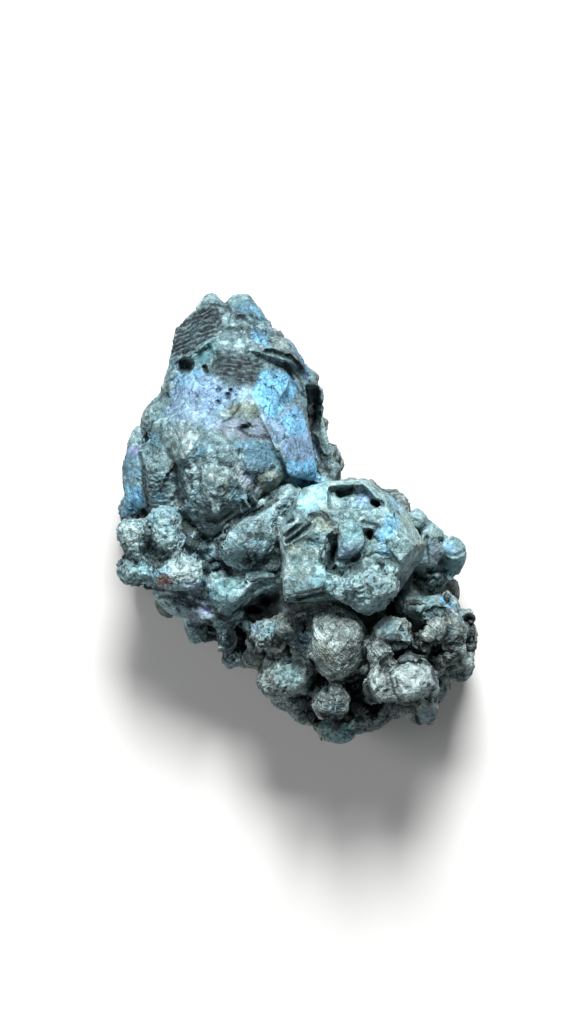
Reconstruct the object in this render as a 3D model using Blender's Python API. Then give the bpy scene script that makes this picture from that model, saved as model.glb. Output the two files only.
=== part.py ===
# Chalcocite specimen: crystals and lumps grown together as one solid, lying on its broken back.
# X runs across the specimen, Y up its length towards the peak, Z up from the surface it lies on.
# Every place and size below is in millimetres; MM turns them into metres at the end.

import math
import random

import bmesh
import bpy
from mathutils import Matrix, Vector

MM = 0.001

# Driving dimensions of the finished specimen.
LENGTH = 45.4
WIDTH = 36.4
THICKNESS = 25.4

# How a lump is faceted: corners spread over a ball, dented a little, with flat faces cut off it.
GOLDEN_ANGLE = math.pi * (3.0 - math.sqrt(5.0))
BALL_DENT = 0.05
FACE_NEAREST = 0.72
FACE_FURTHEST = 0.90

# The natural colour of the tarnished sulphide.
TARNISH_COLOUR = (0.115, 0.150, 0.165, 1.0)
TARNISH_ROUGHNESS = 0.48
TARNISH_METALLIC = 0.55

# Facets within this angle (degrees) are one face, and corners within this distance (mm) are one corner.
FLAT_WITHIN = 2.5
MERGE_WITHIN = 0.05

LEDGE_COUNT = 6
LEDGE_SEED = 2

# Where the side knobs stand, going round the specimen from the summit.
SKIRT_SEED = 4
SKIRT_PATH = (
    (-6.8, 19.4), (-3.2, 17.2), (-0.2, 13.6), (0.9, 9.6), (1.9, 5.4), (6.2, 2.2),
    (10.0, 0.4), (13.0, -3.2), (14.8, -7.8), (15.2, -12.4), (13.4, -16.4), (9.8, -18.2),
    (5.4, -19.6), (1.4, -18.0), (-1.8, -15.2), (-4.8, -12.0), (-8.6, -9.6), (-12.0, -7.4),
    (-14.8, -4.2), (-15.2, 0.4), (-14.8, 4.8), (-13.4, 9.0), (-11.6, 13.0), (-10.2, 17.0),
)


def clear_scene():
    for obj in list(bpy.data.objects):
        bpy.data.objects.remove(obj, do_unlink=True)


def make_collection(name):
    collection = bpy.data.collections.new(name)
    bpy.context.scene.collection.children.link(collection)
    return collection


def chalcocite_material():
    material = bpy.data.materials.new("tarnished_chalcocite")
    material.use_nodes = True
    shader = material.node_tree.nodes["Principled BSDF"]
    shader.inputs["Base Color"].default_value = TARNISH_COLOUR
    shader.inputs["Roughness"].default_value = TARNISH_ROUGHNESS
    shader.inputs["Metallic"].default_value = TARNISH_METALLIC
    return material


def cut_face(bm, point, normal):
    """Cuts a flat face across the shape at point and closes it."""
    parts = bm.verts[:] + bm.edges[:] + bm.faces[:]
    cut = bmesh.ops.bisect_plane(
        bm, geom=parts, plane_co=point, plane_no=normal, clear_outer=True, dist=1e-6
    )
    rim = [part for part in cut["geom_cut"] if isinstance(part, bmesh.types.BMEdge)]
    if rim:
        bmesh.ops.edgeloop_fill(bm, edges=rim)


def keep_hull(bm):
    """Wraps the loose corners in a convex skin and drops those inside it."""
    hull = bmesh.ops.convex_hull(bm, input=bm.verts[:])
    unused = {part for part in hull["geom_interior"] if isinstance(part, bmesh.types.BMVert)}
    bmesh.ops.delete(bm, geom=list(unused), context="VERTS")


def finish_shape(bm, name, collection):
    """Turns a shape in millimetres into a hidden helper object in metres."""
    bmesh.ops.recalc_face_normals(bm, faces=bm.faces[:])
    bm.transform(Matrix.Scale(MM, 4))
    mesh = bpy.data.meshes.new(name)
    bm.to_mesh(mesh)
    bm.free()
    obj = bpy.data.objects.new(name, mesh)
    obj.hide_render = True
    obj.display_type = "WIRE"
    collection.objects.link(obj)
    return obj


def placed(at, turn=0.0, lean=0.0, tip=0.0):
    """Leans a shape about X, tips it about Y, turns it about Z (degrees), then puts it at its place."""
    rotation = (
        Matrix.Rotation(math.radians(turn), 4, "Z")
        @ Matrix.Rotation(math.radians(tip), 4, "Y")
        @ Matrix.Rotation(math.radians(lean), 4, "X")
    )
    return Matrix.Translation(Vector(at)) @ rotation


def random_direction(dice):
    z = dice.uniform(-0.75, 1.0)
    around = dice.uniform(0.0, math.tau)
    flat = math.sqrt(max(0.0, 1.0 - z * z))
    return Vector((flat * math.cos(around), flat * math.sin(around), z))


def lump(collection, name, at, radii, turn=0.0, faces=5, square=2.4, seed=1, deep=1.2, points=20):
    """A roughly faceted knob. at gives its middle and its top; square over 2 makes it boxier."""
    dice = random.Random(seed)
    depth = deep * max(radii)
    bm = bmesh.new()
    for i in range(points):
        z = 1.0 - (2 * i + 1) / points
        flat = math.sqrt(1.0 - z * z)
        around = i * GOLDEN_ANGLE + dice.uniform(-0.25, 0.25)
        spot = Vector((flat * math.cos(around), flat * math.sin(around), z))
        reach = sum(abs(c) ** square for c in spot) ** (1.0 / square)
        bm.verts.new(spot * (1.0 + dice.uniform(-BALL_DENT, BALL_DENT)) / reach)
    keep_hull(bm)
    for _ in range(faces):
        normal = random_direction(dice)
        cut_face(bm, normal * dice.uniform(FACE_NEAREST, FACE_FURTHEST), normal)
    bm.transform(Matrix.Diagonal((*radii, depth, 1.0)))
    bm.transform(placed((at[0], at[1], at[2] - depth * 0.96), turn))
    return finish_shape(bm, name, collection)


def block(collection, name, corners):
    """A crystal or mass with flat faces, given by its corners."""
    bm = bmesh.new()
    for corner in corners:
        bm.verts.new(corner)
    keep_hull(bm)
    bmesh.ops.dissolve_limit(
        bm, angle_limit=math.radians(3), verts=bm.verts[:], edges=bm.edges[:]
    )
    return finish_shape(bm, name, collection)


def prism(collection, name, at, radius, height, sides=6, turn=0.0, lean=0.0, tip=0.0, taper=0.85):
    """A stubby crystal with flat sides, a bevelled rim and a flat end."""
    bm = bmesh.new()
    bmesh.ops.create_cone(
        bm,
        cap_ends=True,
        segments=sides,
        radius1=radius,
        radius2=radius * taper,
        depth=height,
    )
    top = [edge for edge in bm.edges if all(vert.co.z > 0 for vert in edge.verts)]
    bmesh.ops.bevel(bm, geom=top, offset=radius * 0.22, segments=1, affect="EDGES")
    bm.transform(placed(at, turn, lean, tip))
    return finish_shape(bm, name, collection)


def slab(collection, name, at, size, turn=0.0, lean=0.0, tip=0.0, bevel=0.2):
    """A flat-faced brick of crystal with its edges taken off."""
    bm = bmesh.new()
    bmesh.ops.create_cube(bm, size=1.0)
    bm.transform(Matrix.Diagonal((*size, 1.0)))
    bmesh.ops.bevel(
        bm, geom=bm.edges[:], offset=min(size) * bevel, segments=1, affect="EDGES"
    )
    bm.transform(placed(at, turn, lean, tip))
    return finish_shape(bm, name, collection)


def heart(growth):
    """The massive sulphide behind the crystals, broken off flat below."""
    block(
        growth,
        "heart_upper",
        [
            (-11.0, 3.5, -1.5), (-10.5, 10.0, -1.5), (-8.0, 14.5, -1.5), (-4.8, 15.0, -1.5),
            (-1.0, 9.5, -1.5), (0.0, 2.5, -1.5), (-3.0, -3.0, -1.5), (-9.5, -3.5, -1.5),
            (-15.6, 3.0, 7.0), (-14.2, 9.6, 7.0), (-10.6, 18.0, 7.0), (-5.0, 19.6, 7.0),
            (0.8, 13.0, 6.5), (2.2, 10.6, 6.0), (2.6, 5.0, 6.5), (0.0, -3.5, 9.0), (-13.0, -4.0, 7.5),
            (-10.5, 4.0, 14.0), (-9.5, 11.0, 12.5), (-2.5, 8.0, 14.5), (-3.0, -2.0, 13.0),
        ],
    )
    block(
        growth,
        "heart_west",
        [
            (-12.0, -2.0, -1.5), (-11.0, 3.5, -1.5), (-3.0, 2.0, -1.5), (-2.5, -8.0, -1.5),
            (-7.5, -7.0, -1.5), (-15.8, -3.0, 6.0), (-15.0, 2.5, 6.0), (-13.6, -6.6, 6.5),
            (-8.0, -11.0, 6.0), (-3.0, -11.5, 6.5), (-11.5, -3.0, 12.5), (-9.5, -7.0, 10.5),
            (-4.0, -8.0, 12.0), (-2.0, -1.0, 13.5),
        ],
    )
    block(
        growth,
        "heart_lower",
        [
            (-3.5, -9.0, -1.5), (-3.0, 1.0, -1.5), (6.0, 1.0, -1.5), (9.5, -2.0, -1.5),
            (12.5, -8.5, -1.5), (12.0, -13.5, -1.5), (6.5, -16.5, -1.5), (0.5, -15.0, -1.5),
            (-4.6, -12.0, 6.5), (-4.0, 2.0, 7.0), (6.5, 2.4, 7.5), (12.8, -1.5, 7.0),
            (15.6, -8.5, 7.0), (14.6, -15.0, 7.0), (8.0, -18.6, 6.8), (0.6, -18.0, 6.5),
            (-2.5, -5.0, 14.0), (6.5, 1.0, 14.0), (11.8, -9.0, 13.0), (9.0, -15.4, 12.0),
            (-0.5, -13.0, 12.6),
        ],
    )


def skirt(growth):
    """Knobs around the sides, under the ones that show from the front."""
    dice = random.Random(SKIRT_SEED)
    for i, (x, y) in enumerate(SKIRT_PATH):
        radii = (dice.uniform(2.3, 3.2), dice.uniform(2.0, 2.9))
        top = dice.uniform(7.2, 9.4)
        turn = dice.uniform(0, 180)
        lump(growth, f"side_{i}", (x, y, top), radii, turn, faces=2, seed=100 + i, deep=1.35, points=14)


def peak(growth):
    """The tall pointed mass with the broad tarnished face on its left and the bright face on its right."""
    block(
        growth,
        "peak_body",
        [
            (-10.4, 20.4, 8.4), (-9.0, 21.8, 8.8), (-5.0, 21.8, 9.2), (-2.6, 19.4, 9.8),
            (0.4, 16.2, 10.4), (1.2, 12.0, 11.6), (1.4, 5.0, 11.2), (-0.4, 3.4, 14.0),
            (-6.4, 17.2, 14.2), (-4.5, 12.4, 18.4), (-1.9, 4.2, 18.6), (-3.0, 1.5, 17.5),
            (-12.0, 16.8, 8.8), (-12.8, 12.6, 10.0), (-14.6, 8.6, 9.6), (-15.2, 4.6, 9.0),
            (-10.8, 14.2, 14.2), (-12.6, 9.0, 15.2), (-9.5, 9.4, 18.0), (-7.5, 3.0, 18.6),
            (-9.0, 17.5, 4.0), (-5.0, 18.5, 4.0), (0.0, 12.0, 4.0), (0.5, 4.0, 4.0),
            (-12.0, 12.0, 4.0), (-13.0, 4.0, 4.0),
        ],
    )
    block(
        growth,
        "bright_face_upper",
        [
            (-4.4, 12.6, 18.2), (-3.4, 14.2, 17.2), (-1.7, 15.1, 15.6), (-0.6, 13.8, 15.2),
            (-1.3, 12.4, 16.8), (-2.6, 10.0, 18.4), (-3.9, 10.7, 18.9), (-3.4, 12.0, 10.0),
            (-1.5, 13.0, 10.0), (-1.5, 9.5, 10.0),
        ],
    )
    block(
        growth,
        "bright_face_lower",
        [
            (-3.9, 10.8, 18.8), (-2.7, 7.9, 19.2), (-1.3, 5.2, 19.2), (-1.0, 4.2, 18.6),
            (-0.2, 11.2, 16.0), (0.7, 12.0, 14.0), (1.3, 7.9, 14.4), (2.1, 4.9, 13.8),
            (2.0, 3.6, 12.6), (0.2, 10.5, 8.0), (1.0, 4.0, 8.0), (-3.0, 8.0, 8.0),
        ],
    )
    block(
        growth,
        "upper_shoulder",
        [
            (-6.7, 17.4, 13.8), (-4.8, 16.7, 15.2), (-2.2, 18.6, 12.0), (-0.7, 18.2, 11.4),
            (0.8, 16.0, 12.0), (0.9, 14.8, 12.6), (-0.4, 15.4, 14.2), (-3.2, 17.0, 14.6),
            (-2.6, 16.6, 15.0), (-6.0, 17.0, 7.0), (-0.5, 16.0, 7.0), (0.8, 14.2, 7.0),
        ],
    )
    block(
        growth,
        "dark_facet",
        [
            (-9.2, 22.0, 9.8), (-7.5, 19.9, 12.6), (-8.3, 17.6, 13.8), (-10.7, 16.2, 13.0),
            (-12.3, 15.9, 10.4), (-12.0, 18.8, 9.2), (-10.7, 20.8, 9.0), (-8.0, 19.0, 6.0),
            (-10.5, 16.5, 6.0),
        ],
    )
    block(
        growth,
        "three_sided_face",
        [
            (-13.2, 9.4, 14.6), (-10.2, 9.6, 18.2), (-9.5, 7.8, 19.6), (-11.1, 6.1, 19.4),
            (-12.4, 7.8, 16.8), (-9.0, 8.0, 13.0), (-12.0, 7.0, 12.0),
        ],
    )
    lump(growth, "summit_left", (-8.7, 20.5, 10.8), (2.4, 2.2), 20, seed=3)
    lump(growth, "summit_right", (-5.2, 20.4, 11.6), (2.9, 2.4), -20, seed=4)
    lump(growth, "summit_neck", (-4.0, 18.2, 13.2), (2.6, 2.0), -35, seed=71)
    lump(growth, "boss", (-8.0, 3.4, 21.0), (4.7, 5.4), 25, faces=9, seed=5, points=40)
    lump(growth, "boss_west", (-11.2, 3.8, 19.4), (2.8, 4.4), 5, faces=5, seed=21)
    lump(growth, "boss_foot", (-8.6, -0.2, 18.4), (3.2, 2.6), 10, faces=5, seed=72)
    lump(growth, "boss_side", (-4.6, 3.6, 19.0), (3.0, 4.6), 15, faces=5, seed=6)
    lump(growth, "olive_knob", (-2.6, 3.8, 18.6), (2.0, 1.6), 20, faces=6, seed=73)
    lump(growth, "left_boss", (-14.2, 3.6, 16.4), (2.4, 3.6), -8, faces=5, seed=7)
    lump(growth, "left_boss_foot", (-14.8, 0.8, 14.0), (2.2, 2.2), 0, faces=6, seed=74)
    lump(growth, "left_skin", (-16.2, 3.6, 12.6), (1.7, 4.0), -4, seed=8)
    lump(growth, "left_heel", (-16.2, 0.6, 10.6), (1.6, 2.4), 10, seed=9)
    lump(growth, "left_rim_low", (-16.0, 7.0, 11.6), (1.8, 2.8), -15, seed=10)
    lump(growth, "left_rim_mid", (-14.5, 10.2, 12.2), (1.8, 2.8), -38, seed=12)
    lump(growth, "left_rim_high", (-12.9, 13.8, 12.0), (1.3, 2.6), -20, seed=13)


def ledges(growth):
    """Growth steps across the dark face below the left summit."""
    dice = random.Random(LEDGE_SEED)
    for i in range(LEDGE_COUNT):
        along = i / (LEDGE_COUNT - 1)
        at = Vector((-8.9, 20.4, 10.6)).lerp(Vector((-10.6, 16.9, 11.7)), along)
        length = 2.2 + 1.8 * math.sin(math.pi * (0.15 + 0.7 * along))
        turn = 28 + dice.uniform(-5, 5)
        slab(growth, f"ledge_{i}", at, (length, 0.62, 1.5), turn=turn, lean=-40, tip=-34, bevel=0.3)


def far_wall(growth):
    """The thin wall down the right edge of the peak, with a deep gap in front of it."""
    block(
        growth,
        "far_wall_high",
        [
            (0.2, 16.4, 11.0), (1.6, 14.7, 11.2), (2.8, 12.9, 10.6), (2.8, 11.6, 10.0),
            (2.2, 11.4, 9.6), (1.2, 13.4, 11.0), (0.8, 12.4, 5.0), (0.0, 15.4, 6.0),
            (2.2, 11.6, 5.0), (0.4, 12.0, 4.6),
        ],
    )
    block(
        growth,
        "far_wall_low",
        [
            (2.4, 12.0, 9.4), (2.5, 8.9, 9.8), (3.1, 7.4, 10.0), (3.7, 5.8, 10.2), (4.1, 4.2, 9.6),
            (1.9, 11.0, 5.2), (2.4, 6.0, 4.8), (3.4, 3.6, 4.6), (1.7, 8.4, 9.0),
            (2.4, 4.0, 10.0), (0.8, 8.0, 4.2),
        ],
    )
    lump(growth, "far_wall_foot", (2.8, 4.2, 10.8), (1.6, 2.2), -20, seed=14)


def left_knobs(growth):
    """The knobbly group low on the left."""
    lump(growth, "knob_upper", (-12.9, -1.9, 18.2), (3.1, 2.9), 15, faces=5, seed=15)
    lump(growth, "knob_left", (-15.8, -3.0, 14.4), (2.5, 3.0), 10, seed=16)
    lump(growth, "knob_lower", (-11.9, -5.9, 16.6), (3.5, 2.6), -12, faces=5, seed=17)
    lump(growth, "knob_corner", (-15.4, -5.6, 12.8), (2.8, 2.4), 30, seed=18)
    lump(growth, "under_slab", (-11.0, -8.6, 12.0), (3.9, 1.7), -32, faces=5, seed=19)
    lump(growth, "under_knob_a", (-8.4, -10.6, 10.8), (2.2, 2.0), -30, seed=20)
    lump(growth, "under_knob_b", (-7.0, -12.4, 11.0), (1.8, 2.0), 0, seed=22, deep=1.4)
    lump(growth, "under_knob_c", (-5.6, -13.5, 9.2), (1.7, 1.6), 0, seed=23, deep=1.4)
    lump(growth, "dark_tooth", (-4.4, -11.2, 12.8), (1.2, 1.6), 15, seed=24, deep=1.6)
    lump(growth, "blue_beads_a", (-9.9, -2.4, 16.2), (1.5, 1.3), 0, seed=25)
    lump(growth, "blue_beads_b", (-8.6, -3.6, 15.4), (1.3, 1.3), 0, seed=26)


def saddle(growth):
    """The smooth lumps between the peak and the big crystal."""
    lump(growth, "saddle_upper", (-4.9, -1.6, 18.4), (4.7, 2.7), 38, faces=5, seed=27)
    lump(growth, "saddle_lower", (-6.6, -7.3, 16.0), (2.6, 2.4), 30, faces=5, seed=28)
    lump(growth, "saddle_arch", (-3.6, -6.2, 16.6), (3.6, 2.0), 8, faces=5, seed=75)
    lump(growth, "saddle_mid", (-4.6, -4.0, 16.0), (3.6, 1.9), 10, seed=29)
    lump(growth, "saddle_neck", (-2.0, 1.6, 18.0), (2.9, 1.9), 35, seed=30)
    lump(growth, "saddle_east", (-1.0, -0.4, 17.6), (2.0, 2.6), 10, seed=31)


def big_crystal(growth):
    """The blocky crystal that stands highest, with a broken, hollow face."""
    block(
        growth,
        "big_crystal",
        [
            (-2.0, -1.1, 20.2), (-0.7, 0.9, 21.0), (0.5, 2.7, 21.2), (2.8, 3.7, 21.2),
            (6.5, 4.1, 20.8), (8.1, 2.9, 20.8), (10.1, 1.9, 20.2), (12.8, -2.6, 19.6),
            (9.9, -8.1, 18.6), (-1.3, -8.1, 21.6),
            (-0.9, -3.7, 22.8), (0.2, -0.1, 23.0), (3.1, 0.7, 23.6), (3.4, 2.9, 22.8),
            (7.5, 3.2, 22.4), (8.5, 1.2, 23.6), (11.2, -2.6, 22.9), (9.4, -5.2, 24.0),
            (5.2, -7.6, 23.4), (2.6, -7.2, 23.4),
            (-1.0, -7.0, 10.0), (-1.0, -1.0, 10.0), (3.0, 2.6, 10.0), (7.6, 2.6, 10.0),
            (11.4, -2.8, 10.0), (9.0, -7.8, 10.0),
        ],
    )
    lump(growth, "apron_right", (7.6, -6.2, 25.4), (2.4, 2.7), 10, faces=5, seed=32)
    lump(growth, "apron_left", (5.0, -6.8, 25.0), (2.4, 2.2), -10, faces=5, seed=33)
    lump(growth, "apron_chin", (6.9, -8.4, 22.6), (2.5, 1.7), 0, faces=5, seed=34)


def crystal_terraces(inside):
    """Smaller crystals standing on and inside the broken face of the big one."""
    block(
        inside,
        "inner_crystal",
        [
            (4.0, -0.8, 23.4), (5.0, 0.2, 24.0), (6.2, 0.0, 23.8), (6.9, -1.8, 23.6), (6.6, -3.0, 22.6),
            (5.6, -3.9, 21.8), (4.2, -4.0, 21.8), (3.9, -2.4, 23.2), (4.8, -1.2, 24.9), (6.0, -1.6, 24.8),
            (5.4, -2.8, 24.2), (4.2, 0.0, 19.0), (6.4, 0.0, 19.0), (6.4, -3.4, 19.0), (4.2, -3.6, 19.0),
        ],
    )
    lump(inside, "inner_shoulder", (7.4, 0.3, 24.2), (1.6, 1.1), -20, faces=4, seed=76)
    lump(inside, "west_rubble", (2.3, -1.5, 24.6), (1.9, 1.7), 30, faces=5, seed=77)
    block(
        inside,
        "tilted_facet",
        [
            (-0.5, -3.7, 24.0), (1.4, -2.4, 24.8), (2.6, -3.2, 24.9), (2.3, -5.4, 24.8),
            (2.8, -6.6, 24.2), (-0.7, -7.8, 23.2), (-1.0, -5.4, 23.4), (0.0, -4.0, 20.0),
            (2.4, -3.6, 20.0), (2.4, -6.4, 20.0), (-0.4, -7.4, 20.0),
        ],
    )
    slab(inside, "small_facet", (0.2, -2.2, 22.4), (2.3, 1.6, 2.6), turn=20, lean=-6, tip=-12)
    slab(inside, "east_terrace", (9.0, -1.8, 22.2), (2.2, 4.0, 3.0), turn=22, tip=16, bevel=0.16)


def east_crystals(growth):
    """The stepped crystals behind the big one, on the right."""
    slab(growth, "east_block", (11.9, -0.6, 12.2), (3.4, 3.4, 8.2), turn=-38, lean=-6, bevel=0.24)
    slab(growth, "east_step", (13.6, -2.9, 11.2), (3.0, 4.0, 8.0), turn=-24, lean=6, bevel=0.18)
    prism(growth, "east_end", (15.5, -3.6, 10.0), 2.4, 6.6, sides=6, turn=12, lean=-14, tip=8)
    prism(growth, "east_bud_a", (14.2, -5.8, 8.8), 1.4, 5.4, turn=20, lean=14)
    prism(growth, "east_bud_b", (15.2, -5.6, 7.6), 1.2, 5.4, turn=5, lean=4, tip=14)
    prism(growth, "east_bud_c", (12.8, -6.0, 9.6), 1.5, 5.4, turn=40, lean=-8)
    lump(growth, "east_root", (12.8, -4.6, 11.4), (3.2, 3.2), 0, seed=35)


def lower_cluster(growth):
    """The bunch of rounded crystals at the foot of the specimen."""
    lump(growth, "ribbed_ball", (3.7, -12.4, 21.4), (4.2, 4.4), 20, faces=6, square=2.2, seed=36, points=40)
    lump(growth, "ribbed_top", (2.2, -10.2, 20.6), (3.4, 2.8), 25, faces=5, seed=78)
    lump(growth, "brow", (-0.4, -10.6, 18.2), (2.4, 1.9), 20, seed=37)
    lump(growth, "west_upper", (-2.6, -12.0, 16.4), (2.7, 2.6), 0, seed=38)
    lump(growth, "west_edge", (-4.2, -14.0, 12.2), (1.9, 1.4), 20, seed=39, deep=1.5)
    lump(growth, "west_lower", (-1.6, -15.6, 15.6), (2.8, 2.6), -25, seed=40)
    lump(growth, "west_link", (0.6, -15.4, 16.8), (1.9, 2.6), -15, seed=79)
    lump(growth, "west_foot", (-0.8, -17.6, 13.6), (2.5, 1.9), -20, seed=41)
    lump(growth, "dark_foot", (0.4, -19.2, 11.0), (1.4, 1.9), 10, seed=42, deep=1.4)
    lump(growth, "cut_crystal", (2.9, -18.0, 18.0), (2.4, 2.3), 15, faces=12, square=3.0, seed=43)
    lump(growth, "green_foot", (3.9, -21.0, 12.6), (2.6, 1.7), 8, seed=44, deep=1.5)
    lump(growth, "gravel_ridge", (7.6, -19.9, 12.2), (3.6, 1.7), 24, faces=5, seed=45)
    lump(growth, "gravel_bank", (7.4, -18.0, 12.8), (3.4, 2.0), 10, faces=5, seed=80)
    lump(growth, "pale_lump", (11.0, -16.2, 21.8), (2.9, 2.5), 14, faces=5, seed=46, deep=1.4)
    lump(growth, "pale_shoulder", (8.1, -16.8, 19.6), (1.8, 1.9), 0, faces=6, seed=47, deep=1.6)
    slab(growth, "brick", (9.4, -11.4, 16.0), (4.4, 2.9, 5.6), turn=-14, tip=6, lean=10, bevel=0.24)
    lump(growth, "plum", (8.1, -13.6, 18.6), (2.1, 1.8), 30, seed=48, deep=1.5)
    lump(growth, "egg_left", (13.6, -10.9, 17.8), (1.5, 2.3), -42, faces=5, seed=49)
    lump(growth, "egg_right", (15.8, -11.0, 17.0), (1.5, 2.2), 5, faces=5, seed=50)
    lump(growth, "egg_below", (15.6, -13.2, 16.0), (1.8, 1.2), 12, faces=5, seed=51, deep=1.5)
    lump(growth, "bean", (14.1, -14.4, 14.6), (1.2, 1.9), 20, seed=52, deep=1.5)
    lump(growth, "teal_bank", (11.6, -8.6, 17.0), (2.6, 2.0), -10, faces=5, seed=53)
    lump(growth, "teal_bank_east", (13.8, -8.4, 16.0), (2.2, 1.7), 0, faces=5, seed=81)
    slab(growth, "teal_flake", (15.2, -8.6, 12.6), (1.2, 3.0, 4.6), turn=12, bevel=0.3)
    lump(growth, "east_rim", (17.2, -11.6, 12.6), (1.1, 2.2), 0, seed=54, deep=1.5)
    lump(growth, "east_bead", (17.5, -9.5, 12.6), (0.95, 0.95), 0, faces=4, seed=55)
    lump(growth, "east_bead_stalk", (16.5, -9.9, 12.2), (1.1, 1.2), 0, seed=56)
    lump(growth, "south_east", (16.2, -14.3, 12.8), (1.9, 1.9), 0, seed=57, deep=1.4)
    lump(growth, "hook", (14.2, -16.4, 14.4), (1.3, 1.9), 20, seed=58, deep=1.6)
    slab(growth, "foot_crystal_a", (12.8, -18.7, 11.0), (2.4, 3.6, 5.6), turn=12, lean=16, bevel=0.24)
    slab(growth, "foot_crystal_b", (11.2, -18.8, 10.8), (1.6, 2.4, 5.0), turn=-22, bevel=0.25)


def main_hollows(cutters):
    """The deep gaps and pockets that show from a step away."""
    block(
        cutters,
        "crystal_pocket",
        [
            (2.6, -3.6, 26.0), (4.0, -0.6, 26.0), (4.6, 0.6, 26.0), (7.4, 0.7, 26.0), (8.6, -0.6, 26.0),
            (8.3, -3.0, 26.0), (5.8, -4.9, 26.0), (2.8, -5.3, 26.0), (3.4, -4.2, 20.6),
            (5.2, -0.4, 22.2), (7.4, -1.6, 21.8), (5.4, -4.0, 20.6),
        ],
    )
    block(
        cutters,
        "crystal_slot",
        [
            (3.5, 3.0, 25.0), (6.0, 3.3, 25.0), (6.6, 2.2, 25.0), (5.2, 1.6, 25.0), (3.9, 1.6, 25.0),
            (3.9, 2.7, 20.6), (5.8, 2.9, 20.6), (5.4, 2.2, 21.2),
        ],
    )
    block(
        cutters,
        "peak_hole",
        [
            (-12.0, 15.3, 15.0), (-10.6, 15.9, 15.0), (-10.1, 15.0, 15.0), (-10.9, 14.4, 15.0),
            (-11.8, 14.7, 15.0), (-10.9, 15.3, 10.2), (-10.7, 14.9, 10.2),
        ],
    )
    block(
        cutters,
        "shoulder_slit",
        [
            (-3.4, 16.8, 17.0), (-0.2, 15.2, 16.0), (0.5, 14.4, 16.0), (-0.6, 14.8, 16.0),
            (-2.8, 15.9, 17.0), (-2.6, 16.2, 12.4), (-0.6, 15.0, 11.6),
        ],
    )
    block(
        cutters,
        "wall_gap",
        [
            (1.3, 13.2, 15.0), (2.0, 12.2, 15.0), (2.2, 9.8, 15.0), (1.7, 8.2, 15.0), (0.9, 10.2, 15.0),
            (0.9, 11.8, 15.0), (1.6, 12.0, 6.4), (1.8, 9.6, 6.2), (1.3, 10.4, 6.4),
        ],
    )
    slab(cutters, "knob_crevice", (-12.8, -3.9, 16.6), (3.6, 0.7, 4.6), turn=16, bevel=0.1)
    block(
        cutters,
        "foot_shadow",
        [
            (4.9, -15.9, 19.0), (7.3, -15.3, 19.0), (6.9, -17.6, 19.0), (5.9, -18.6, 19.0),
            (5.2, -17.8, 19.0), (5.6, -16.6, 10.4), (6.6, -16.8, 10.4), (6.0, -17.6, 10.4),
        ],
    )
    block(
        cutters,
        "egg_shadow",
        [
            (11.5, -12.0, 18.0), (13.0, -13.2, 18.0), (14.6, -12.8, 18.0), (13.2, -14.0, 18.0),
            (11.6, -13.4, 18.0), (12.4, -12.8, 10.0), (13.4, -13.4, 10.4),
        ],
    )
    block(
        cutters,
        "brow_hole",
        [
            (0.1, -9.8, 21.0), (1.2, -9.9, 21.0), (1.0, -11.4, 21.0), (0.3, -11.8, 21.0),
            (0.5, -10.4, 14.6), (0.7, -11.2, 14.6),
        ],
    )
    block(
        cutters,
        "arch_shadow",
        [
            (-4.9, -8.4, 17.0), (-3.4, -7.8, 17.0), (-2.2, -8.2, 17.0), (-2.8, -9.4, 17.0),
            (-4.6, -9.8, 17.0), (-3.8, -8.6, 9.0), (-3.2, -9.2, 9.0),
        ],
    )


def add_boolean(obj, name, operation, collection):
    modifier = obj.modifiers.new(name, "BOOLEAN")
    modifier.operation = operation
    modifier.operand_type = "COLLECTION"
    modifier.collection = collection
    modifier.solver = "EXACT"


def seed_body(growth):
    """The first mass, which the others are fused to."""
    body = growth.objects["heart_upper"]
    growth.objects.unlink(body)
    body.name = "chalcocite"
    body.hide_render = False
    body.display_type = "TEXTURED"
    return body


def evaluated_bmesh(obj):
    graph = bpy.context.evaluated_depsgraph_get()
    mesh = bpy.data.meshes.new_from_object(obj.evaluated_get(graph))
    bm = bmesh.new()
    bm.from_mesh(mesh)
    bpy.data.meshes.remove(mesh)
    return bm


def break_off_back(bm):
    """The flat break that the specimen lies on, at height zero."""
    cut_face(bm, Vector((0, 0, 0)), Vector((0, 0, -1)))


def fit_to_dimensions(bm):
    """Brings the solid to its driving dimensions, centred over the origin and standing on height zero."""
    spans = []
    for axis in range(3):
        values = [vert.co[axis] for vert in bm.verts]
        spans.append((min(values), max(values)))
    wanted = (WIDTH * MM, LENGTH * MM, THICKNESS * MM)
    middle = Vector(((spans[0][0] + spans[0][1]) / 2, (spans[1][0] + spans[1][1]) / 2, 0.0))
    bm.transform(Matrix.Translation(-middle))
    sizes = [size / (high - low) for size, (low, high) in zip(wanted, spans)]
    bm.transform(Matrix.Diagonal((*sizes, 1.0)))
    print("drawn size in mm:", [round((high - low) / MM, 2) for low, high in spans])


def largest_body(bm):
    """Drops loose crumbs that a hollow may have cut free."""
    todo = set(bm.verts)
    bodies = []
    while todo:
        stack = [todo.pop()]
        body = set(stack)
        while stack:
            for edge in stack.pop().link_edges:
                for vert in edge.verts:
                    if vert in todo:
                        todo.remove(vert)
                        body.add(vert)
                        stack.append(vert)
        bodies.append(body)
    bodies.sort(key=len)
    crumbs = [vert for body in bodies[:-1] for vert in body]
    print("bodies:", [len(body) for body in bodies])
    bmesh.ops.delete(bm, geom=crumbs, context="VERTS")


def tidy_facets(bm):
    """Joins facets that lie in one plane and closes up the shortest edges left by the unions."""
    bmesh.ops.remove_doubles(bm, verts=bm.verts[:], dist=MERGE_WITHIN * MM)
    bmesh.ops.dissolve_limit(
        bm,
        angle_limit=math.radians(FLAT_WITHIN),
        use_dissolve_boundaries=False,
        verts=bm.verts[:],
        edges=bm.edges[:],
    )
    bmesh.ops.triangulate(bm, faces=bm.faces[:])


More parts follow.
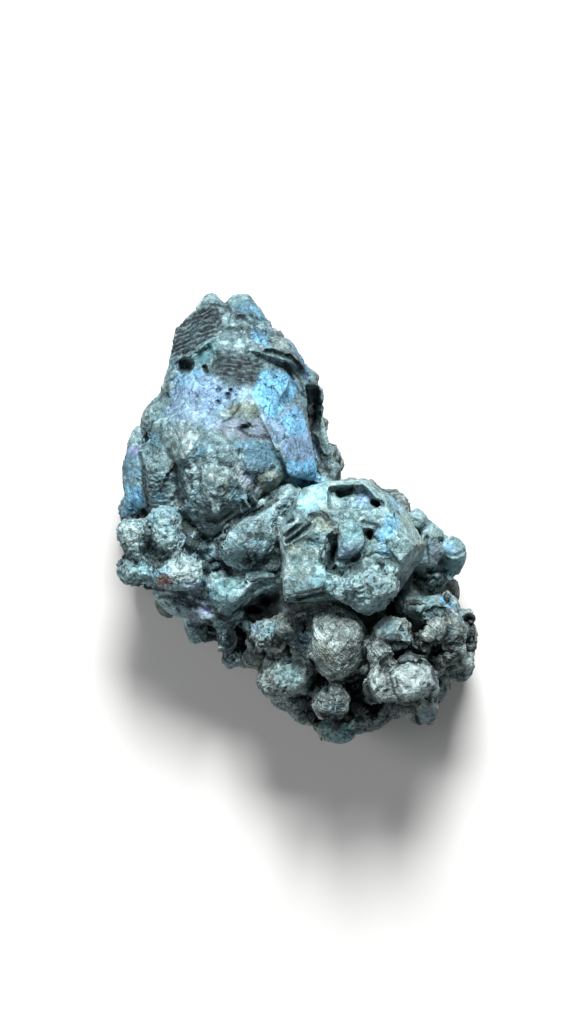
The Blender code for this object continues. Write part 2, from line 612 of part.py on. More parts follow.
def main():
    clear_scene()
    specimen = make_collection("chalcocite_specimen")
    growth = make_collection("growth")
    inside = make_collection("growth_inside_hollow")
    cutters = make_collection("hollows")

    heart(growth)
    skirt(growth)
    peak(growth)
    ledges(growth)
    far_wall(growth)
    left_knobs(growth)
    saddle(growth)
    big_crystal(growth)
    east_crystals(growth)
    lower_cluster(growth)
    crystal_terraces(inside)
    main_hollows(cutters)

    body = seed_body(growth)
    specimen.objects.link(body)
    add_boolean(body, "grow", "UNION", growth)
    add_boolean(body, "hollow", "DIFFERENCE", cutters)
    add_boolean(body, "inner crystal", "UNION", inside)

    bm = evaluated_bmesh(body)
    body.modifiers.clear()
    break_off_back(bm)
    largest_body(bm)
    fit_to_dimensions(bm)
    tidy_facets(bm)
    bm.to_mesh(body.data)
    bm.free()
    body.data.materials.append(chalcocite_material())
    print("triangles:", len(body.data.polygons))


main()
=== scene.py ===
import itertools
import math
import random
import time
from contextlib import contextmanager

import bpy
import numpy as np
from mathutils import Matrix, Vector


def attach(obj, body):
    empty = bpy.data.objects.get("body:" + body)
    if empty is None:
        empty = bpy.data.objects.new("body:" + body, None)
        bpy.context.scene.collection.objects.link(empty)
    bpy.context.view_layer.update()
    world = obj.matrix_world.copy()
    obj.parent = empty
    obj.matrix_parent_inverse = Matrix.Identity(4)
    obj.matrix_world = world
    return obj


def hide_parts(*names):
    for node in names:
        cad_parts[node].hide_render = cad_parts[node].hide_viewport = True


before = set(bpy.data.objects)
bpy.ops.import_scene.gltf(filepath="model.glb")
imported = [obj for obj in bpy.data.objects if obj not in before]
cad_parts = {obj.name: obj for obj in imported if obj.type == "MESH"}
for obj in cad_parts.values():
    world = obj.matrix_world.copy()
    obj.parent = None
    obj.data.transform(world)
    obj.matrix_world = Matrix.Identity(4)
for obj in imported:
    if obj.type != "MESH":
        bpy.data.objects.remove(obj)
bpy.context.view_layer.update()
startTime = time.time()

# The specimen is grown in millimetres, and a finished piece is turned into metres.
millimetre = 0.001
drawnMiddle = (0.19, 0.01)  # middle of the drawn outline, which the frame puts over its origin
view = {  # where the specimen is seen from, in the same millimetres
    "middle": (-0.9, 0.7),
    "level": 12.0,  # height of the plane that the photograph is sharp in
    "away": 450.0,  # from that plane to the camera
    "high": 102.4,  # what the camera sees on that plane, ten pixels to the millimetre
    "sensor": 36.0,
}


def say(text):
    print(f"[{time.time() - startTime:6.1f} s] {text}")


def pickOnly(obj):
    bpy.ops.object.select_all(action="DESELECT")
    obj.select_set(True)
    bpy.context.view_layer.objects.active = obj


@contextmanager
def editing(obj):  # edit mode on one object, with all of it selected
    pickOnly(obj)
    bpy.ops.object.mode_set(mode="EDIT")
    bpy.ops.mesh.select_all(action="SELECT")
    yield
    bpy.ops.object.mode_set(mode="OBJECT")


def newObject(name, data):
    obj = bpy.data.objects.new(name, data)
    bpy.context.scene.collection.objects.link(obj)
    return obj


def joinAll(parts, name):
    pickOnly(parts[0])
    for part in parts:
        part.select_set(True)
    bpy.ops.object.join()
    joined = bpy.context.object
    joined.name = name
    joined.data.name = name
    return joined


def applyModifier(obj, kind, **settings):
    modifier = obj.modifiers.new(kind.title(), kind)
    for key, value in settings.items():
        setattr(modifier, key, value)
    pickOnly(obj)
    bpy.ops.object.modifier_apply(modifier=modifier.name)


def remesh(obj, edge):
    applyModifier(obj, "REMESH", mode="VOXEL", voxel_size=edge)


def placed(at, turn=0.0, lean=0.0, tip=0.0):
    spin = (
        Matrix.Rotation(math.radians(turn), 4, "Z")
        @ Matrix.Rotation(math.radians(tip), 4, "Y")
        @ Matrix.Rotation(math.radians(lean), 4, "X")
    )
    return Matrix.Translation(Vector(at)) @ spin


def randomDirection(dice, lowest):
    z = dice.uniform(lowest, 1.0)
    around = dice.uniform(0.0, math.tau)
    flat = math.sqrt(max(0.0, 1.0 - z * z))
    return Vector((flat * math.cos(around), flat * math.sin(around), z))


def shaveFaces(dice, count, lowest, near, far):  # flat crystal faces on the shape being edited, near to far out
    for _ in range(count):
        normal = randomDirection(dice, lowest)
        point = normal * dice.uniform(near, far)
        bpy.ops.mesh.select_all(action="SELECT")
        bpy.ops.mesh.bisect(plane_co=point, plane_no=normal, use_fill=True, clear_outer=True)


# How a lump breaks up: the flat faces cut on it, and how far each kind of relief acts on its skin.
reliefKinds = ("swell", "broad", "mid", "fine", "beads", "pits")
finishes = {
    "craggy": {"faces": 7, "swell": 0.7, "broad": 0.4, "mid": 0.65, "fine": 1.0, "beads": 1.0, "pits": 0.6},
    "rough": {"faces": 8, "swell": 0.5, "broad": 0.5, "mid": 0.55, "fine": 0.65, "beads": 0.55, "pits": 0.35},
    "smooth": {"faces": 8, "swell": 0.4, "broad": 0.5, "mid": 0.35, "fine": 0.4, "beads": 0.3, "pits": 0.2},
    "ribbed": {"faces": 11, "swell": 0.4, "broad": 0.5, "mid": 0.5, "fine": 0.5, "beads": 0.2, "pits": 0.15},
    "facet": {"swell": 0.1, "broad": 0.12, "mid": 0.2, "fine": 0.4, "beads": 0.2, "pits": 0.1},  # between lumps
}
lumpShape = {  # all for a lump's size, but fineFrom, the radius in mm from which it gets finer faces
    "cuts": {"lowest": -0.75, "near": 0.76, "far": 0.92}, "skin": 0.95, "top": 0.96, "reach": 0.16, "fineFrom": 2.2,
}
grains = {  # chips on craggy lumps, sizes in mm
    "shapes": 7, "faces": 6, "cuts": {"lowest": -1.0, "near": 0.42, "far": 0.6}, "stretch": (0.7, 1.3),
    "cover": 0.02, "small": 0.5, "large": 1.0, "lowest": -0.55, "sunk": (0.86, 0.95),
}
prismShape = {"sides": 6, "taper": 0.85, "bevel": 0.14}


def lumpMatrix(lump):
    name, (x, y, top), radii, turn, deep, finish = lump
    depth = deep * max(radii)
    return placed((x, y, top - depth * lumpShape["top"]), turn) @ Matrix.Diagonal((*radii, depth, 1.0))


def growLump(lump):
    name, at, radii, turn, deep, finish = lump
    bpy.ops.mesh.primitive_ico_sphere_add(subdivisions=4 if max(radii) > lumpShape["fineFrom"] else 3, radius=1.0)
    ball = bpy.context.object
    ball.name = name
    with editing(ball):
        shaveFaces(random.Random(name), finishes[finish]["faces"], **lumpShape["cuts"])
    ball.data.transform(lumpMatrix(lump))
    return ball


def growLumps(lumps, chips):
    grown = []
    for lump in lumps:
        grown += [growLump(lump), *scatterChips(chips, lump)]
    return grown


def growBlocks(blocks):  # each block is the hull of its corners
    grown = []
    for name, corners in blocks.items():
        mesh = bpy.data.meshes.new(name)
        mesh.from_pydata(corners, [], [])
        block = newObject(name, mesh)
        with editing(block):
            bpy.ops.mesh.convex_hull(join_triangles=False)
            bpy.ops.mesh.normals_make_consistent(inside=False)
        grown.append(block)
    return grown


def growPlate(name, at, size, turn, lean, bevel):
    bpy.ops.mesh.primitive_cube_add(size=1.0)
    plate = bpy.context.object
    plate.name = name
    plate.data.transform(Matrix.Diagonal((*size, 1.0)))
    with editing(plate):
        bpy.ops.mesh.bevel(offset=min(size) * bevel, segments=1, affect="EDGES")
    plate.data.transform(placed(at, turn, lean))
    return plate


def growPrism(name, at, radius, height, turn, lean, tip):
    sides, far = prismShape["sides"], radius * prismShape["taper"]
    bpy.ops.mesh.primitive_cone_add(
        vertices=sides, radius1=radius, radius2=far, depth=height, end_fill_type="NGON"
    )
    prism = bpy.context.object
    prism.name = name
    with editing(prism):
        bpy.ops.mesh.bevel(offset=radius * prismShape["bevel"], segments=1, affect="EDGES")
    prism.data.transform(placed(at, turn, lean, tip))
    return prism


def makeChips():  # a handful of angular grains, modelled once and copied all over the lumps
    chips = []
    for i in range(grains["shapes"]):
        bpy.ops.mesh.primitive_cube_add(size=1.0)
        chip = bpy.context.object
        chip.name = f"chip{i}"
        with editing(chip):
            shaveFaces(random.Random(f"chip {i}"), grains["faces"], **grains["cuts"])
        chips.append(chip)
    return chips


def copyChip(chips, spot, size, dice):
    source = dice.choice(chips)
    turn = Matrix.Rotation(dice.uniform(0, math.tau), 4, randomDirection(dice, -1.0))
    across, along = (size * dice.uniform(*grains["stretch"]) for _ in range(2))
    stretch = Matrix.Diagonal((across, along, size, 1.0))
    chip = newObject("grain", source.data.copy())
    chip.data.transform(Matrix.Translation(spot) @ turn @ stretch)
    return chip


def scatterChips(chips, lump):
    name, at, radii, turn, deep, finish = lump
    if finish != "craggy":
        return []
    dice = random.Random(f"chips on {name}")
    small, large = grains["small"], grains["large"]
    skinArea = 9.0 * radii[0] * radii[1]  # roughly the side of a knob that isn't buried
    copies = []
    for _ in range(int(grains["cover"] * skinArea / ((small + large) / 2) ** 2)):
        size = small + (large - small) * dice.random() ** 2
        spot = lumpMatrix(lump) @ (randomDirection(dice, grains["lowest"]) * dice.uniform(*grains["sunk"]))
        copies.append(copyChip(chips, spot, size, dice))
    return copies


heart = {
    "name": "heart",
    "look": "darkHeart",
    "skin": 0.235,  # voxel size, in mm
    "melt": 0.24,  # how far its edges round over, in mm
    "relief": 1,  # how strongly its skin is roughened
    "blocks": {
        "heartUpper": [(-11, 3.5, -1.5), (-10.5, 10, -1.5), (-8, 14.5, -1.5), (-4.8, 15, -1.5), (-1, 9.5, -1.5),
            (0, 2.5, -1.5), (-3, -3, -1.5), (-9.5, -3.5, -1.5), (-15.6, 3, 7), (-14.2, 9.6, 7), (-10.6, 18, 7),
            (-5, 19.6, 7), (0.8, 13, 6.5), (2.2, 10.6, 6), (2.6, 5, 6.5), (0, -3.5, 9), (-13, -4, 7.5),
            (-10.5, 4, 14), (-9.5, 11, 12.5), (-2.5, 8, 14.5), (-3, -2, 13)],
        "heartWest": [(-12, -2, -1.5), (-11, 3.5, -1.5), (-3, 2, -1.5), (-2.5, -8, -1.5), (-7.5, -7, -1.5),
            (-15.8, -3, 6), (-15, 2.5, 6), (-13.6, -6.6, 6.5), (-8, -11, 6), (-3, -11.5, 6.5), (-11.5, -3, 12.5),
            (-9.5, -7, 10.5), (-4, -8, 12), (-2, -1, 13.5)],
        "heartLower": [(-3.5, -9, -1.5), (-3, 1, -1.5), (6, 1, -1.5), (9.5, -2, -1.5), (12.5, -8.5, -1.5),
            (12, -13.5, -1.5), (6.5, -16.5, -1.5), (0.5, -15, -1.5), (-4.6, -12, 6.5), (-4, 2, 7), (6.5, 2.4, 7.5),
            (12.8, -1.5, 7), (15.6, -8.5, 7), (14.6, -15, 7), (8, -18.6, 6.8), (0.6, -18, 6.5), (-2.5, -5, 14),
            (6.5, 1, 14), (11.8, -9, 13), (9, -15.4, 12), (-0.5, -13, 12.6)],
    },
    # knobs round the sides, from the summit clockwise
    "sideSpots": [(-6.8, 19.4), (-3.2, 17.2), (-0.2, 13.6), (0.9, 9.6), (1.9, 5.4), (6.2, 2.2), (10, 0.4),
        (13, -3.2), (13.7, -8), (15.2, -12.4), (13.4, -16.4), (9.8, -18.2), (5.4, -19.6), (1.4, -18), (-1.8, -15.2),
        (-4.8, -12), (-8.6, -9.6), (-12, -7.4), (-14.8, -4.2), (-15.2, 0.4), (-14.8, 4.8), (-13.4, 9), (-11.6, 13),
        (-10.2, 17)],
    "sideSeed": 4,
    "sideRadii": ((2.3, 3.2), (2, 2.9)),
    "sideTops": (7.2, 9.4),
    "sideDeep": 1.35,
    "sideFinishes": ("rough", "craggy", "smooth"),
}

peak = {
    "name": "peak",
    "look": "tarnishedPeak",
    "skin": 0.14,
    "melt": 0.2,
    "relief": 0.8,
    "blocks": {
        "peakBody": [(-10.4, 20.4, 8.4), (-9, 21.8, 8.8), (-5, 21.8, 9.2), (-2.6, 19.4, 9.8), (0.4, 16.2, 10.4),
            (1.2, 12, 11.6), (1.4, 5, 11.2), (-0.4, 3.4, 14), (-6.4, 17.2, 14.2), (-4.5, 12.4, 18.4),
            (-1.9, 4.2, 18.6), (-3, 2.5, 17.5), (-12, 16.8, 8.8), (-12.8, 12.6, 10), (-14.6, 8.6, 9.6),
            (-10.8, 14.2, 14.2), (-12.6, 9, 15.2), (-9.5, 9.4, 18), (-6, 6, 18.2), (-9, 17.5, 5), (-5, 18.5, 5),
            (0, 12, 5), (0.5, 4, 5), (-12, 10, 5)],
        "brightFaceUpper": [(-4.4, 12.6, 18.2), (-3.4, 14.2, 17.2), (-1.7, 15.1, 15.6), (-0.6, 13.8, 15.2),
            (-1.3, 12.4, 16.8), (-2.6, 10, 18.4), (-3.9, 10.7, 18.9), (-3.4, 12, 10), (-1.5, 13, 10),
            (-1.5, 9.5, 10)],
        "brightFaceLower": [(-3.9, 10.8, 18.8), (-2.7, 7.9, 19.2), (-1.3, 5.2, 19.2), (-1, 4.2, 18.6),
            (-0.2, 11.2, 16), (0.7, 12, 14), (1.3, 7.9, 14.4), (2.1, 4.9, 13.8), (2, 3.6, 12.6), (0.2, 10.5, 8),
            (1, 4, 8), (-3, 8, 8)],
        "upperShoulder": [(-6.7, 17.4, 13.8), (-4.8, 16.7, 15.2), (-2.2, 18.6, 12), (-0.7, 18.2, 11.4),
            (0.8, 16, 12), (0.9, 14.8, 12.6), (-0.4, 15.4, 14.2), (-3.2, 17, 14.6), (-2.6, 16.6, 15), (-6, 17, 7),
            (-0.5, 16, 7), (0.8, 14.2, 7)],
        "summitLeft": [(-10.4, 21.2, 9.4), (-9.2, 22.7, 9.6), (-8.3, 22.9, 9.8), (-7.4, 22, 10.4),
            (-7.3, 20.4, 12.2), (-8.5, 21.5, 11.4), (-9.6, 20.9, 10.8), (-9, 19.4, 6.5), (-7.6, 19.6, 6.5),
            (-9, 21.8, 7)],
        "summitRight": [(-7.2, 21.7, 10.6), (-6.5, 22.7, 10), (-4.8, 22.7, 9.8), (-4.1, 21.7, 10.3),
            (-3, 20.4, 10.7), (-4.4, 18.8, 13), (-6.8, 19.2, 13), (-6.5, 21.1, 12), (-5.1, 21.5, 11.6),
            (-3.6, 18.5, 6), (-7, 19, 6), (-5.4, 22, 7.4)],
        "summitSpine": [(-7.4, 20.4, 12.7), (-7.7, 18, 13.7), (-8.6, 16.8, 14), (-5, 16.4, 14.8),
            (-3.4, 17.6, 13.4), (-3.6, 19.6, 12), (-6.4, 21.3, 11.4), (-7.6, 19.6, 6), (-4, 19, 6), (-5, 16.6, 6),
            (-8.6, 17, 6)],
        "darkFacet": [(-8.8, 21.5, 11), (-7.4, 20.2, 12.8), (-7.8, 18, 13.8), (-9.5, 16.8, 14), (-12, 15.4, 12.4),
            (-12.6, 16.8, 10.8), (-12.3, 19.2, 9.9), (-10.5, 21, 9.9), (-8, 19, 6), (-10.5, 16.5, 6), (-12, 17, 7)],
        "rimStep": [(-12.6, 17.2, 10.4), (-13.3, 14, 10.4), (-11.8, 15.6, 12.4), (-11.4, 13.4, 13.4),
            (-14, 12.2, 10.4), (-12.4, 12, 12.8), (-12, 16, 5.5), (-13, 12.5, 5.5), (-10.5, 14, 5.5)],
        "farWallHigh": [(0.2, 16.4, 11), (1.6, 14.7, 11.2), (2.8, 12.9, 10.6), (2.8, 11.6, 10), (2.2, 11.4, 9.6),
            (1.2, 13.4, 11), (0.8, 12.4, 5), (0, 15.4, 6), (2.2, 11.6, 5), (0.4, 12, 4.6)],
        "gapBack": [(0.2, 13.8, 5.6), (2.3, 12.2, 5.4), (2.8, 8, 5.4), (0.6, 7.6, 5.8), (0.2, 13.2, 2.6),
            (2, 11.8, 2.6), (2.4, 8.4, 2.6), (0.6, 8, 2.6)],
        "farWallLow": [(2.4, 12, 9.4), (2.5, 8.9, 9.8), (3.1, 7.4, 10), (3.7, 5.8, 10.2), (4.1, 4.2, 9.6),
            (1.9, 11, 5.2), (2.4, 6, 4.8), (3.4, 3.6, 4.6), (1.7, 8.4, 9), (2.4, 4, 10), (0.8, 8, 4.2)],
    },
    "lumps": [  # name, middle and top, radii, turn, depth for width, finish
        ("leftRimFill", (-13, 8.4, 14.4), (1.8, 2.8), -20, 1.2, "rough"),
        ("summitNeck", (-4, 18.2, 13.2), (2.6, 2), -35, 1.2, "craggy"),
        ("leftRimMid", (-13.9, 10.6, 12.2), (1.4, 2.8), -38, 1.2, "rough"),
        ("leftRimHigh", (-12.5, 13.8, 12.2), (1.1, 2.6), -20, 1.2, "rough"),
        ("farWallFoot", (2.8, 4.2, 10.8), (1.6, 2.2), -20, 1.2, "rough"),
    ],
    "hollows": {
        "peakHole": [(-12, 15.3, 15), (-10.6, 15.9, 15), (-10.1, 15, 15), (-10.9, 14.4, 15), (-11.8, 14.7, 15),
            (-10.9, 15.3, 10.2), (-10.7, 14.9, 10.2)],
        "wallGap": [(1.3, 13.2, 15), (2, 12.2, 15), (2.2, 9.8, 15), (1.7, 8.2, 15), (0.9, 10.2, 15),
            (0.9, 11.8, 15), (1.6, 12, 6.4), (1.8, 9.6, 6.2), (1.3, 10.4, 6.4)],
    },
}

boss = {
    "name": "boss",
    "look": "tarnishedPeak",
    "skin": 0.13,
    "melt": 0.15,
    "relief": 1,
    "lines": {  # growth lines on a lump: across them, spacing in mm, strength
        "leftBoss": ((0.12, 1, 0.5), 0.55, 0.6),
        "oliveKnob": ((1, 0.5, 0), 0.3, 0.4),
        "leftHeel": ((1, 0.2, 0.2), 0.3, 0.5),
    },
    "blocks": {
        "bossFaces": [(-14.3, 9.83, 15.4), (-10.78, 10.88, 17.2), (-7.41, 10.56, 18.2), (-12.67, 9.3, 17),
            (-9.35, 8.47, 19.6), (-11.23, 6.01, 19.2), (-15.11, 6.17, 14.8), (-12.76, 6.14, 17.2),
            (-12.47, 2.78, 17), (-11.27, 0.6, 17.4), (-8.6, -0.58, 17.8), (-5.53, 0.8, 18.4), (-4.92, 7.08, 20.4),
            (-3.07, 8.09, 18.4), (-0.8, 4.46, 16.8), (-3.56, 2.57, 18.4), (-6.59, 5.5, 20.9), (-8.74, 6.09, 20.8),
            (-5.73, 10.16, 18.6), (-9.64, 3.16, 20), (-6.11, 2.76, 20), (-8.08, 1.39, 19.4), (-13.6, 7, 8),
            (-13, 1.6, 8), (-9, 9.4, 8), (-4, 9, 8), (-2.6, 4, 8), (-6, 1, 8)],
        "threeSidedFace": [(-11.23, 5.84, 20.4), (-12.45, 9.11, 17.2), (-9.45, 8.39, 20.2), (-10.71, 9.47, 18.4),
            (-8.59, 6.78, 20.6), (-13.43, 7.99, 16), (-12.23, 5.49, 18.2), (-10.31, 5.47, 19.6), (-12, 8.6, 10),
            (-10, 6.6, 10), (-9.4, 8.6, 10)],
        "bossDome": [(-9.45, 8.49, 20), (-8.03, 8.87, 20), (-6.33, 7.35, 20.6), (-5.57, 5.46, 20.4),
            (-7.07, 5.27, 21), (-8.77, 5.65, 21), (-9.34, 6.97, 20.9), (-7.82, 7.15, 21.2), (-10, 6.4, 10),
            (-6.4, 8.6, 10), (-6.2, 5.6, 10), (-9.4, 8.6, 10)],
        "steelFace": [(-5.57, 7.16, 20.6), (-3.32, 7.84, 19), (-1.99, 5.68, 18.2), (-3.32, 4.44, 18.8),
            (-4.82, 4.43, 20.4), (-5.76, 5.46, 20.6), (-5.4, 7, 10), (-2.6, 7.6, 10), (-2.4, 5, 10), (-5, 4.8, 10)],
        "centralKnob": [(-8.25, 5.41, 20.9), (-6.88, 4.91, 20.9), (-6.1, 3.74, 20.4), (-6.01, 2.37, 19.9),
            (-6.8, 1.19, 19.4), (-8.28, 0.6, 19), (-9.56, 1.19, 19.2), (-10.04, 2.57, 19.7), (-9.83, 4.33, 20.2),
            (-9.14, 5.21, 20.6), (-8.43, 4.22, 21.9), (-7.36, 3.54, 21.7), (-8.25, 2.17, 21), (-7.08, 2.17, 20.8),
            (-9.4, 1.6, 10), (-6.8, 1.6, 10), (-6.8, 4.6, 10), (-9.2, 4.6, 10)],
        "nubFaces": [(-8.41, 1.73, 20.2), (-7.48, 1.78, 20.2), (-7.33, 0.7, 20.3), (-7.63, 0.21, 19.9),
            (-8.37, 0.26, 19.9), (-8.61, 0.9, 20.3), (-7.96, 1.09, 20.9), (-8.5, 1.4, 12), (-7.6, 1.4, 12),
            (-7.7, 0.5, 12), (-8.4, 0.5, 12)],
        "underFaces": [(-10.45, 1.78, 18.8), (-9.07, 1, 19.3), (-6.9, 1.19, 19.4), (-4.54, 2.18, 18.9),
            (-3.47, 1.59, 18), (-4.65, 0.5, 17.4), (-7.13, -0.88, 17), (-8.83, -2.08, 16), (-10.4, -0.88, 16.6),
            (-11.08, 0.4, 17.2), (-10.4, 0.6, 9), (-8.6, -1.4, 9), (-4.4, 0.8, 9), (-6, 2, 9)],
        "midRidge": [(-12.05, 5.63, 18), (-11.22, 6.01, 19.5), (-10.33, 5.22, 20.1), (-10.04, 3.16, 19.8),
            (-10.16, 1.39, 18.8), (-11.17, 1.19, 17.8), (-11.61, 3.17, 17.9), (-11.6, 5.4, 10), (-10.6, 4.8, 10),
            (-10.6, 1.8, 10), (-11.4, 2, 10)],
        "leftBossFaces": [(-14.86, 6.15, 16.4), (-13.55, 6.73, 17.2), (-12.75, 6.03, 17.5), (-12.31, 4.16, 17.6),
            (-12.17, 2.38, 17.2), (-12.68, 1, 16.4), (-13.69, 0.5, 16), (-14.79, 1.3, 15.4), (-15.49, 3.38, 15.4),
            (-15.38, 5.16, 15.8), (-13.9, 4.84, 18.9), (-13.31, 3.16, 18.7), (-14.12, 2.57, 18), (-15, 5.4, 8),
            (-13.2, 5.6, 8), (-13, 1.8, 8), (-14.8, 1.6, 8)],
        "leftSheet": [(-16.89, 7.29, 12.4), (-15.65, 7.68, 13.4), (-14.82, 6.37, 14.6), (-15.01, 3.58, 14.8),
            (-15.14, 1.2, 13.8), (-15.89, 0.2, 12.4), (-17.36, 1, 11.6), (-17.19, 3.6, 12.2), (-17.66, 5.3, 11.8),
            (-16.02, 5.18, 14.4), (-15.94, 2.19, 13.9), (-16.4, 6.4, 5), (-15, 5.6, 5), (-15.2, 1.4, 5),
            (-16.6, 1.6, 5)],
    },
    "lumps": [
        ("bossCragA", (-10.22, 4.43, 20.5), (0.93, 1.28), 10, 1.1, "craggy"),
        ("bossCragB", (-9.93, 2.66, 20.1), (0.98, 0.98), -20, 1.2, "craggy"),
        ("bossCragC", (-10.55, 1.29, 19.1), (0.98, 0.89), 30, 1.2, "craggy"),
        ("bossCragD", (-6.96, 3.73, 21.9), (1.08, 1.17), 0, 1, "rough"),
        ("bossCragE", (-6.49, 2.17, 20.9), (0.98, 1.08), 20, 1.1, "rough"),
        ("bossCragF", (-8.64, 2.37, 21.2), (0.78, 1.08), 0, 1.1, "rough"),
        ("bossHeel", (-11.27, 0.9, 17.6), (1.5, 1.1), -10, 1.2, "craggy"),
        ("bossHeelLow", (-10.29, -0.49, 17), (1.5, 1.2), 15, 1.2, "craggy"),
        ("oliveKnob", (-2.72, 4.04, 19.6), (1.6, 1.25), 25, 1.2, "smooth"),
        ("oliveRoot", (-4.54, 2.57, 18.8), (1.9, 1.3), 35, 1.2, "smooth"),
        ("leftBoss", (-13.92, 4.05, 18.3), (1.7, 2.9), -6, 1.1, "smooth"),
        ("leftBossFoot", (-13.77, 1.29, 16.5), (1.7, 1.3), 0, 1.2, "smooth"),
        ("leftHeel", (-16.28, 1.6, 12.6), (1.2, 1.8), 10, 1.2, "smooth"),
        ("leftRimJoin", (-14.32, 6.56, 14.8), (1.5, 1.8), -10, 1.2, "smooth"),
        ("leftRimLow", (-15.79, 7.3, 12.2), (1.3, 2.4), -15, 1.2, "rough"),
    ],
    "plates": [  # thin plates at its foot: name, middle, size, turn, lean, bevel
        ("finA", (-5.7, 1.3, 18.2), (0.35, 1.5, 2.4), 24, 12, 0.2),
        ("finB", (-5.1, 1.7, 18.5), (0.35, 1.6, 2.4), 34, 12, 0.2),
        ("finC", (-4.4, 2.1, 18.8), (0.35, 1.6, 2.4), 42, 12, 0.2),
    ],
}

leftKnobs = {
    "name": "leftKnobs",
    "look": "tarnishedKnobs",
    "skin": 0.13,
    "melt": 0.14,
    "relief": 1,
    "blocks": {
        "westBank": [(-16.55, -0.6, 13.4), (-16.97, -4.59, 12.8), (-14.54, -6.57, 14), (-10.96, -9.16, 13.6),
            (-7.58, -9.57, 13.4), (-5.58, -8.16, 14), (-3.18, -6.95, 15), (-1, -4.46, 15.6), (-0.6, 1.39, 16.2),
            (-5.95, 1, 16.6), (-11.91, 1.59, 15.6), (-8.93, -4.95, 15.8), (-15, -1, 7), (-15, -4, 7), (-10, -8, 7),
            (-3, -6, 7), (-1, 0, 7), (-11, 1, 7)],
    },
    "lumps": [
        ("knobUpper", (-12.8, -1.27, 19.4), (2.3, 2.8), 18, 1.2, "craggy"),
        ("knobLeft", (-15.94, -1.97, 16.8), (2.1, 2.7), 8, 1.2, "craggy"),
        ("knobLower", (-11.64, -5.21, 18.6), (3.3, 2.4), -12, 1, "craggy"),
        ("knobLowerWest", (-14.47, -5.14, 16.2), (2, 1.6), 0, 1.2, "craggy"),
        ("knobCorner", (-16.2, -4.87, 14.8), (1.8, 2.2), 25, 1.3, "craggy"),
        ("underSlab", (-11.51, -8.13, 15.6), (3.5, 1.7), -28, 1.2, "smooth"),
        ("underSlabEnd", (-8.94, -9.53, 15.2), (1.6, 1.3), -20, 1.3, "smooth"),
        ("underKnobA", (-9.59, -11.19, 12.4), (1.9, 1.5), -30, 1.4, "rough"),
        ("underTooth", (-7.27, -11.94, 14), (1.3, 1.7), 10, 1.4, "smooth"),
        ("underKnobC", (-6.22, -13.85, 10.4), (1.7, 1.2), 0, 1.5, "craggy"),
        ("darkTooth", (-4.48, -11.14, 14.4), (0.9, 1.4), 15, 1.8, "smooth"),
        ("rubbleA", (-11.58, 0.6, 17), (1.5, 1.2), 10, 1.3, "rough"),
        ("rubbleC", (-8.22, -1.38, 16.6), (1.5, 1.4), 30, 1.3, "rough"),
        ("blueBeadsA", (-10.58, -1.77, 17.4), (1.1, 0.9), 0, 1.3, "craggy"),
        ("blueBeadsB", (-9.4, -2.86, 17.2), (1.2, 1), 0, 1.3, "craggy"),
        ("blueBeadsC", (-8.22, -4.05, 16.6), (1, 1.1), 0, 1.3, "craggy"),
        ("saddleUpper", (-5.03, -2.05, 19.6), (3.5, 2.9), 40, 1, "smooth"),
        ("saddleShoulder", (-2.97, -0.28, 19.2), (2.6, 2.5), 35, 1, "smooth"),
        ("saddleLower", (-6.63, -7.1, 17.8), (3, 2.5), 32, 1.1, "smooth"),
        ("saddleArch", (-3.66, -5.81, 17.8), (3.1, 1.7), 8, 1.1, "smooth"),
        ("saddleUnder", (-6.85, -9.22, 15.4), (2, 1.4), 0, 1.3, "rough"),
        ("saddleNeck", (-1.69, 1.69, 18.6), (2.7, 1.9), 35, 1.2, "rough"),
        ("saddleEast", (-1.39, -2.56, 18), (1.7, 2.9), 10, 1.1, "smooth"),
    ],
}

